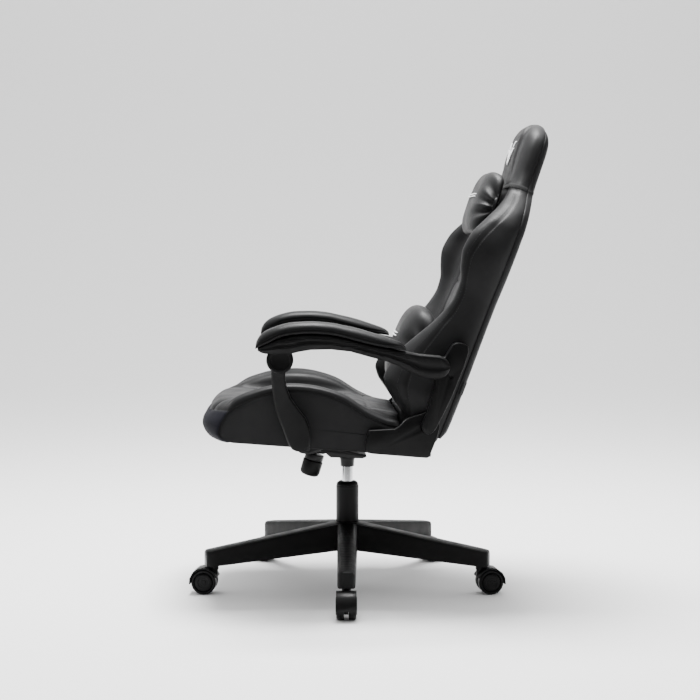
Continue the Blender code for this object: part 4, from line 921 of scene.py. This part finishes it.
def pillow_shape(half_width, up_middle, half_height, out_rear, out_front, rows, cols):
    """A stuffed pillow's loft across its width, its front curving back to each end."""
    ts = np.sin(np.linspace(-math.pi / 2, math.pi / 2, rows))
    angles = np.linspace(0, 2 * math.pi, cols, endpoint=False)
    height = half_height * np.maximum(0.30, np.sqrt(np.maximum(0, 1 - np.abs(ts) ** 5)))
    full = (out_front - out_rear) / 2
    depth = full * np.maximum(0.16, np.sqrt(np.maximum(0, 1 - np.abs(ts) ** 3.0)))
    middle = (out_front + out_rear) / 2 - 0.75 * (full - depth)[:, None]
    c, s = np.cos(angles), np.sin(angles)
    up = up_middle + height[:, None] * np.sign(s) * np.abs(s) ** 0.75
    out = middle + depth[:, None] * np.sign(c) * np.abs(c) ** 0.80
    x = half_width * ts[:, None]
    return x, up, out


def build_pillow(name, node, half_width, up_middle, half_height, out_rear, out_front, seed):
    x, up, out = pillow_shape(half_width, up_middle, half_height, out_rear, out_front, 84, 120)
    grid = on_back(x, up, out)
    normals = normals_of(grid)
    near_end = half_width - np.abs(x)
    # Each end is gathered to its rear edge, with folds that fan out from there.
    gather_out = out_rear + 0.006
    fan = np.arctan2(up - up_middle + 0.006, out - gather_out + 0.010)
    away = np.hypot(out - gather_out, up - up_middle)
    swing = ripple(grid, 9.0, seed)
    folds = np.cos(fan * 9 + 1.5 * swing + np.sign(x) * 0.7)
    folds = folds * (0.8 + 0.5 * ripple(grid, 14.0, seed + 1))
    facing = 0.25 + 0.75 * ease(out, out_rear + 0.006, out_rear + 0.018)
    gather = bell(near_end, 0.052) * (1 - 0.70 * ease(away, 0.04, 0.10))
    gather = gather * ease(away, 0.006, 0.020)
    shape = 0.0062 * folds * gather * facing
    shape += 0.0020 * ripple(grid, 15.0, seed + 2) * facing
    grid = grid + normals * shape[..., None]
    # The upper corner of each end is drawn out into a small flap.
    corner = np.hypot(out - gather_out, up - up_middle - half_height * 0.85)
    flap = bell(near_end, 0.040) * bell(corner, 0.020)
    grid += (on_back(0.0, 0.009, -0.005) - on_back(0.0, 0.0, 0.0)) * flap[..., None]
    # Painted shade in the fold valleys at each end, and a painted highlight on the fold crests.
    seam = 0.45 * np.clip(-folds, 0, 1) * gather
    wear_and_highlight = 0.35 * np.clip(folds, 0, 1) * gather
    made = body_mesh(name, grid, PILLOW_LEATHER, "back", seam, wear_and_highlight)
    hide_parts(node)

    normals = normals_of(grid)
    used = np.abs(x[:, 0]) < LABEL_HALF
    bars = [(grid[used, j], normals[used, j]) for j in (1, 2)]
    stitches(name + "_label", bars, PALE_THREAD, "back",
             pitch=0.0030, length=0.0038, thick=0.0016, lift=0.0004)


# ---- armrest pads
PAD_TOP = (
    (-0.2205, 0.6210), (-0.2160, 0.6330), (-0.2050, 0.6460), (-0.1870, 0.6570), (-0.1640, 0.6650),
    (-0.1300, 0.6715), (-0.0950, 0.6730), (-0.0500, 0.6700), (-0.0050, 0.6610), (0.0410, 0.6490),
    (0.0870, 0.6340), (0.1130, 0.6230), (0.1220, 0.6150),
)
PAD_UNDER = (
    (-0.2205, 0.6125), (-0.2050, 0.6205), (-0.1870, 0.6285), (-0.1640, 0.6400), (-0.1300, 0.6460),
    (-0.0950, 0.6480), (-0.0500, 0.6450), (-0.0050, 0.6350), (0.0410, 0.6230), (0.0870, 0.6140),
    (0.1130, 0.6100), (0.1220, 0.6080),
)
PAD_HALF = ((-0.2205, 0.0230), (-0.2050, 0.0330), (-0.1640, 0.0375), (0.0500, 0.0365),
            (0.1000, 0.0300), (0.1220, 0.0180))


def build_pads():
    """The armrest pads, a seam low along each side and a top that is lighter in patches."""
    ys = spread([-0.2205, -0.2180, -0.2120, -0.2000, 0.1130, 0.1200, 0.1220], 0.0050)
    rows = []
    for y in ys:
        half, top, under = (float(table(t, y)[0]) for t in (PAD_HALF, PAD_TOP, PAD_UNDER))
        under -= 0.0008
        rise = top - under
        side = [(half - 0.0040, 0.0), (half - 0.0008, 0.08), (half, 0.30), (half - 0.002, 0.58),
                (half - 0.009, 0.86), (half * 0.5, 0.985), (0.0, 1.0)]
        right = through([(px, under + rise * share) for px, share in side], (2, 4, 5, 6, 7, 8))
        rows.append(mirrored_section(right, 8))
    across, height = np.moveaxis(np.stack(rows), -1, 0)
    along = np.broadcast_to(ys[:, None], across.shape)
    under = table(PAD_UNDER, ys)[:, None]
    for sign, side_name in ((1, "left"), (-1, "right")):
        grid = np.stack([across + ARM_X, along, height], axis=-1)
        normals = normals_of(grid)
        above = grid[..., 2] - under
        free = ease(above, 0.001, 0.004)
        to_seam = np.abs(above - 0.0075)
        shape = (-0.0010 * bell(to_seam, 0.0018) + 0.0006 * ripple(grid, 24.0, 31.0 + sign)) * free
        grid = grid + normals * shape[..., None]
        grid[..., 0] *= sign
        seam = bell(to_seam, 0.0018) * free
        wear_and_highlight = 0.5 * ease(above, 0.014, 0.022) * (0.5 + 0.5 * ripple(grid, 20.0, 33.0))
        pad = body_mesh(f"arm_padding_{side_name}", grid, PAD_LEATHER, f"armrest_{side_name}",
                        seam, wear_and_highlight)
        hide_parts(f"arm_pad_{side_name}")


# ---- carried-over CAD nodes
def node_group(name, steps):
    """A geometry node group of steps in a row, each (node type, settings, socket values)."""
    group = bpy.data.node_groups.new(name, "GeometryNodeTree")
    group.interface.new_socket("Geometry", in_out="INPUT", socket_type="NodeSocketGeometry")
    group.interface.new_socket("Geometry", in_out="OUTPUT", socket_type="NodeSocketGeometry")
    flow = group.nodes.new("NodeGroupInput").outputs[0]
    for kind, settings, values in steps:
        node = group.nodes.new(kind)
        for key, value in settings.items():
            setattr(node, key, value)
        for socket, value in values.items():
            if value == "SHARP":
                angle = group.nodes.new("GeometryNodeInputMeshEdgeAngle")
                over = group.nodes.new("FunctionNodeCompare")
                over.operation = "GREATER_THAN"
                over.inputs[1].default_value = SHARP_ANGLE
                group.links.new(angle.outputs[0], over.inputs[0])
                group.links.new(over.outputs[0], node.inputs[socket])
            else:
                node.inputs[socket].default_value = value
        group.links.new(flow, node.inputs[0])
        flow = node.outputs[0]
    group.links.new(flow, group.nodes.new("NodeGroupOutput").inputs[0])
    return group


def paint_nodes():
    """Every CAD node takes its slot's finish, and modifiers that round its edges and smooth its facets."""
    joined = node_group("Joined facets", (
        ("GeometryNodeMergeByDistance", {}, {"Distance": 0.00002}),
        ("GeometryNodeRemoveAttribute", {}, {"Name": "custom_normal"}),
    ))
    shaded = node_group("Smooth shading", (
        ("GeometryNodeSetShadeSmooth", {"domain": "FACE"}, {"Shade Smooth": True}),
        ("GeometryNodeSetShadeSmooth", {"domain": "EDGE"}, {"Selection": "SHARP", "Shade Smooth": False}),
    ))
    slots = {part["node"]: part["material_slot"] for part in frame["record"]["subparts"]}
    for name, node in frame["nodes"].items():
        node.data.materials.clear()
        node.data.materials.append(STEEL if name in BLACKENED else SLOT_LOOK[slots[name]])
        node.modifiers.new("Joined", "NODES").node_group = joined
        bevel = node.modifiers.new("Soft edges", "BEVEL")
        bevel.width = 0.0008
        bevel.segments = 2
        bevel.limit_method = "ANGLE"
        bevel.angle_limit = math.radians(40)
        node.modifiers.new("Smooth", "NODES").node_group = shaded


# ---- castor hubs
HUB = ((0.0, 0.0012), (0.0055, 0.0014), (0.0065, 0.0004), (0.0125, 0.0004), (0.0135, 0.0014),
       (0.0190, 0.0016), (0.0205, 0.0010), (0.0208, -0.0004))


def lathe(name, centre, axis, profile, look, body, steps=48):
    """A turned piece about an axis, from (radius, height) pairs, closed across both ends."""
    axis = np.asarray(axis, float) / np.linalg.norm(axis)
    first = np.cross(axis, (0.31, 0.17, 0.93))
    first /= np.linalg.norm(first)
    second = np.cross(axis, first)
    turns = 2 * np.pi * np.arange(steps) / steps
    spokes = np.cos(turns)[:, None] * first + np.sin(turns)[:, None] * second
    verts = np.concatenate([centre + axis * height + spokes * radius for radius, height in profile])
    return piece(name, verts, capped(len(profile), steps), look, body, angle=40)


def world_points(node):
    """A CAD node's points about the lift's axis."""
    points = np.array([v.co for v in node.data.vertices])
    turned = points @ np.array(node.matrix_world.to_3x3()).T
    return turned + np.array(node.matrix_world.translation) + SHIFT


def build_hubs():
    """A ribbed cap on the outer face of each castor wheel."""
    for k in range(1, 6):
        clouds = [world_points(frame["nodes"][f"castor_{k}_wheel_{side}"]) for side in "ab"]
        middles = [(c.min(axis=0) + c.max(axis=0)) / 2 for c in clouds]
        for i, side in enumerate("ab"):
            out = middles[i] - middles[1 - i]
            out[2] = 0.0
            out /= np.linalg.norm(out)
            face = ((clouds[i] - middles[i]) @ out).max()
            lathe(f"castor_{k}_hub_{side}", middles[i] + out * face, out, HUB, CASTOR,
                  f"castor_{k}_wheel_{side}")


# ---- moulded lines on the arms
def build_arm_lines():
    """Raised lines along both sides of each arm shell, found on its surface."""
    for side, sign in (("left", 1), ("right", -1)):
        shell = frame["nodes"][f"arm_shell_{side}"]
        points = world_points(shell)
        triangles = [tuple(p.vertices) for p in shell.data.polygons]
        tree = BVHTree.FromPolygons(points.tolist(), triangles)
        verts, faces = [], []
        for face in (-1, 1):
            for drop in (0.30, 0.62):
                line = []
                for y in np.arange(-0.200, 0.171, 0.006):
                    near = points[np.abs(points[:, 1] - y) < 0.012]
                    if len(near) < 3:
                        near = points[np.argsort(np.abs(points[:, 1] - y))[:12]]
                    top, low = near[:, 2].max(), near[:, 2].min()
                    start = Vector((sign * ARM_X + face * 0.1, y, top + (low - top) * drop))
                    hit = tree.ray_cast(start, Vector((-face, 0.0, 0.0)))[0]
                    if hit is not None:
                        line.append(hit)
                faces += capped(len(line), 8, len(verts))
                for k, spot in enumerate(line):
                    size = 0.0011 * math.sin(math.pi * (k + 0.4) / len(line)) ** 0.4
                    verts += [(spot.x + size * math.cos(a), spot.y, spot.z + size * math.sin(a))
                              for a in np.arange(8) * math.pi / 4]
        piece(f"arm_lines_{side}", verts, faces, COVERS, f"armrest_{side}")


# ---- mechanism
LIFT_SOCKET = ((0.0140, 0.0), (0.0150, 0.0006), (0.0225, 0.0160), (0.0235, 0.0185))
SPRING_BOOT = ((0.0225, 0.0), (0.0240, 0.002), (0.0232, 0.005), (0.0252, 0.008), (0.0245, 0.011),
               (0.0290, 0.0145), (0.0330, 0.0175), (0.0335, 0.0215))


def build_mechanism_collars():
    """A cone where the lift enters the mechanism, and a ribbed boot over the spring's cup."""
    lathe("lift_socket", np.array((0.0, 0.0, 0.318)), (0.0, 0.0, 1.0), LIFT_SOCKET, STEEL,
          "mechanism")
    lathe("spring_boot", np.array((0.0, -0.0785, 0.3345)), (0.0, 0.286, 0.958), SPRING_BOOT, CASTOR,
          "mechanism")


# ---- studio
FLOOR_R, CURVE_R = 5.5, 3.0


def build_stage():
    """A floor that curves up into a wall all round, grey on the camera's side of the chair."""
    profile = [(radius, 0.0) for radius in (0.7, 1.4, 2.2, 3.2, 4.4, FLOOR_R)]
    for k in range(1, 13):
        a = math.radians(90 * k / 12)
        profile.append((FLOOR_R + CURVE_R * math.sin(a), CURVE_R - CURVE_R * math.cos(a)))
    profile.append((FLOOR_R + CURVE_R, 4.2))
    steps = 96
    turns = [2 * math.pi * k / steps for k in range(steps)]
    verts = [(r * math.cos(a), r * math.sin(a), z) for r, z in profile for a in turns]
    verts.append((0.0, 0.0, 0.0))
    faces = [face[::-1] for face in tube_faces(len(profile), steps)]
    faces += [(k, (k + 1) % steps, len(verts) - 1) for k in range(steps)]
    mesh = bpy.data.meshes.new("Studio floor")
    mesh.from_pydata(verts, [], faces)
    mesh.polygons.foreach_set("use_smooth", [True] * len(mesh.polygons))
    mark(mesh, "shade", ease(np.array([v[0] for v in verts]), 1.2, 4.5))
    look = Look("Studio paper", (0.80, 0.80, 0.80), 0.9)
    paper = look.mix(look.noise(0.7, 2.0), (0.795, 0.795, 0.795), (0.805, 0.805, 0.805))
    look.colour(look.mix(look.attribute("shade"), paper, (0.12, 0.12, 0.12)))
    mesh.materials.append(look.material)
    floor = placed("Studio_floor", mesh)


set_camera()
set_lights()
build_stage()
paint_nodes()
build_seat()
build_back()
build_panel()
build_pillow("lumbar_cushion", "lumbar_pillow", 0.150, 0.153, 0.100, 0.0400, 0.1240, 41.0)
build_pillow("head_cushion", "head_pillow", 0.140, 0.541, 0.080, 0.0080, 0.0640, 51.0)
build_pads()
build_hubs()
build_arm_lines()
build_mechanism_collars()
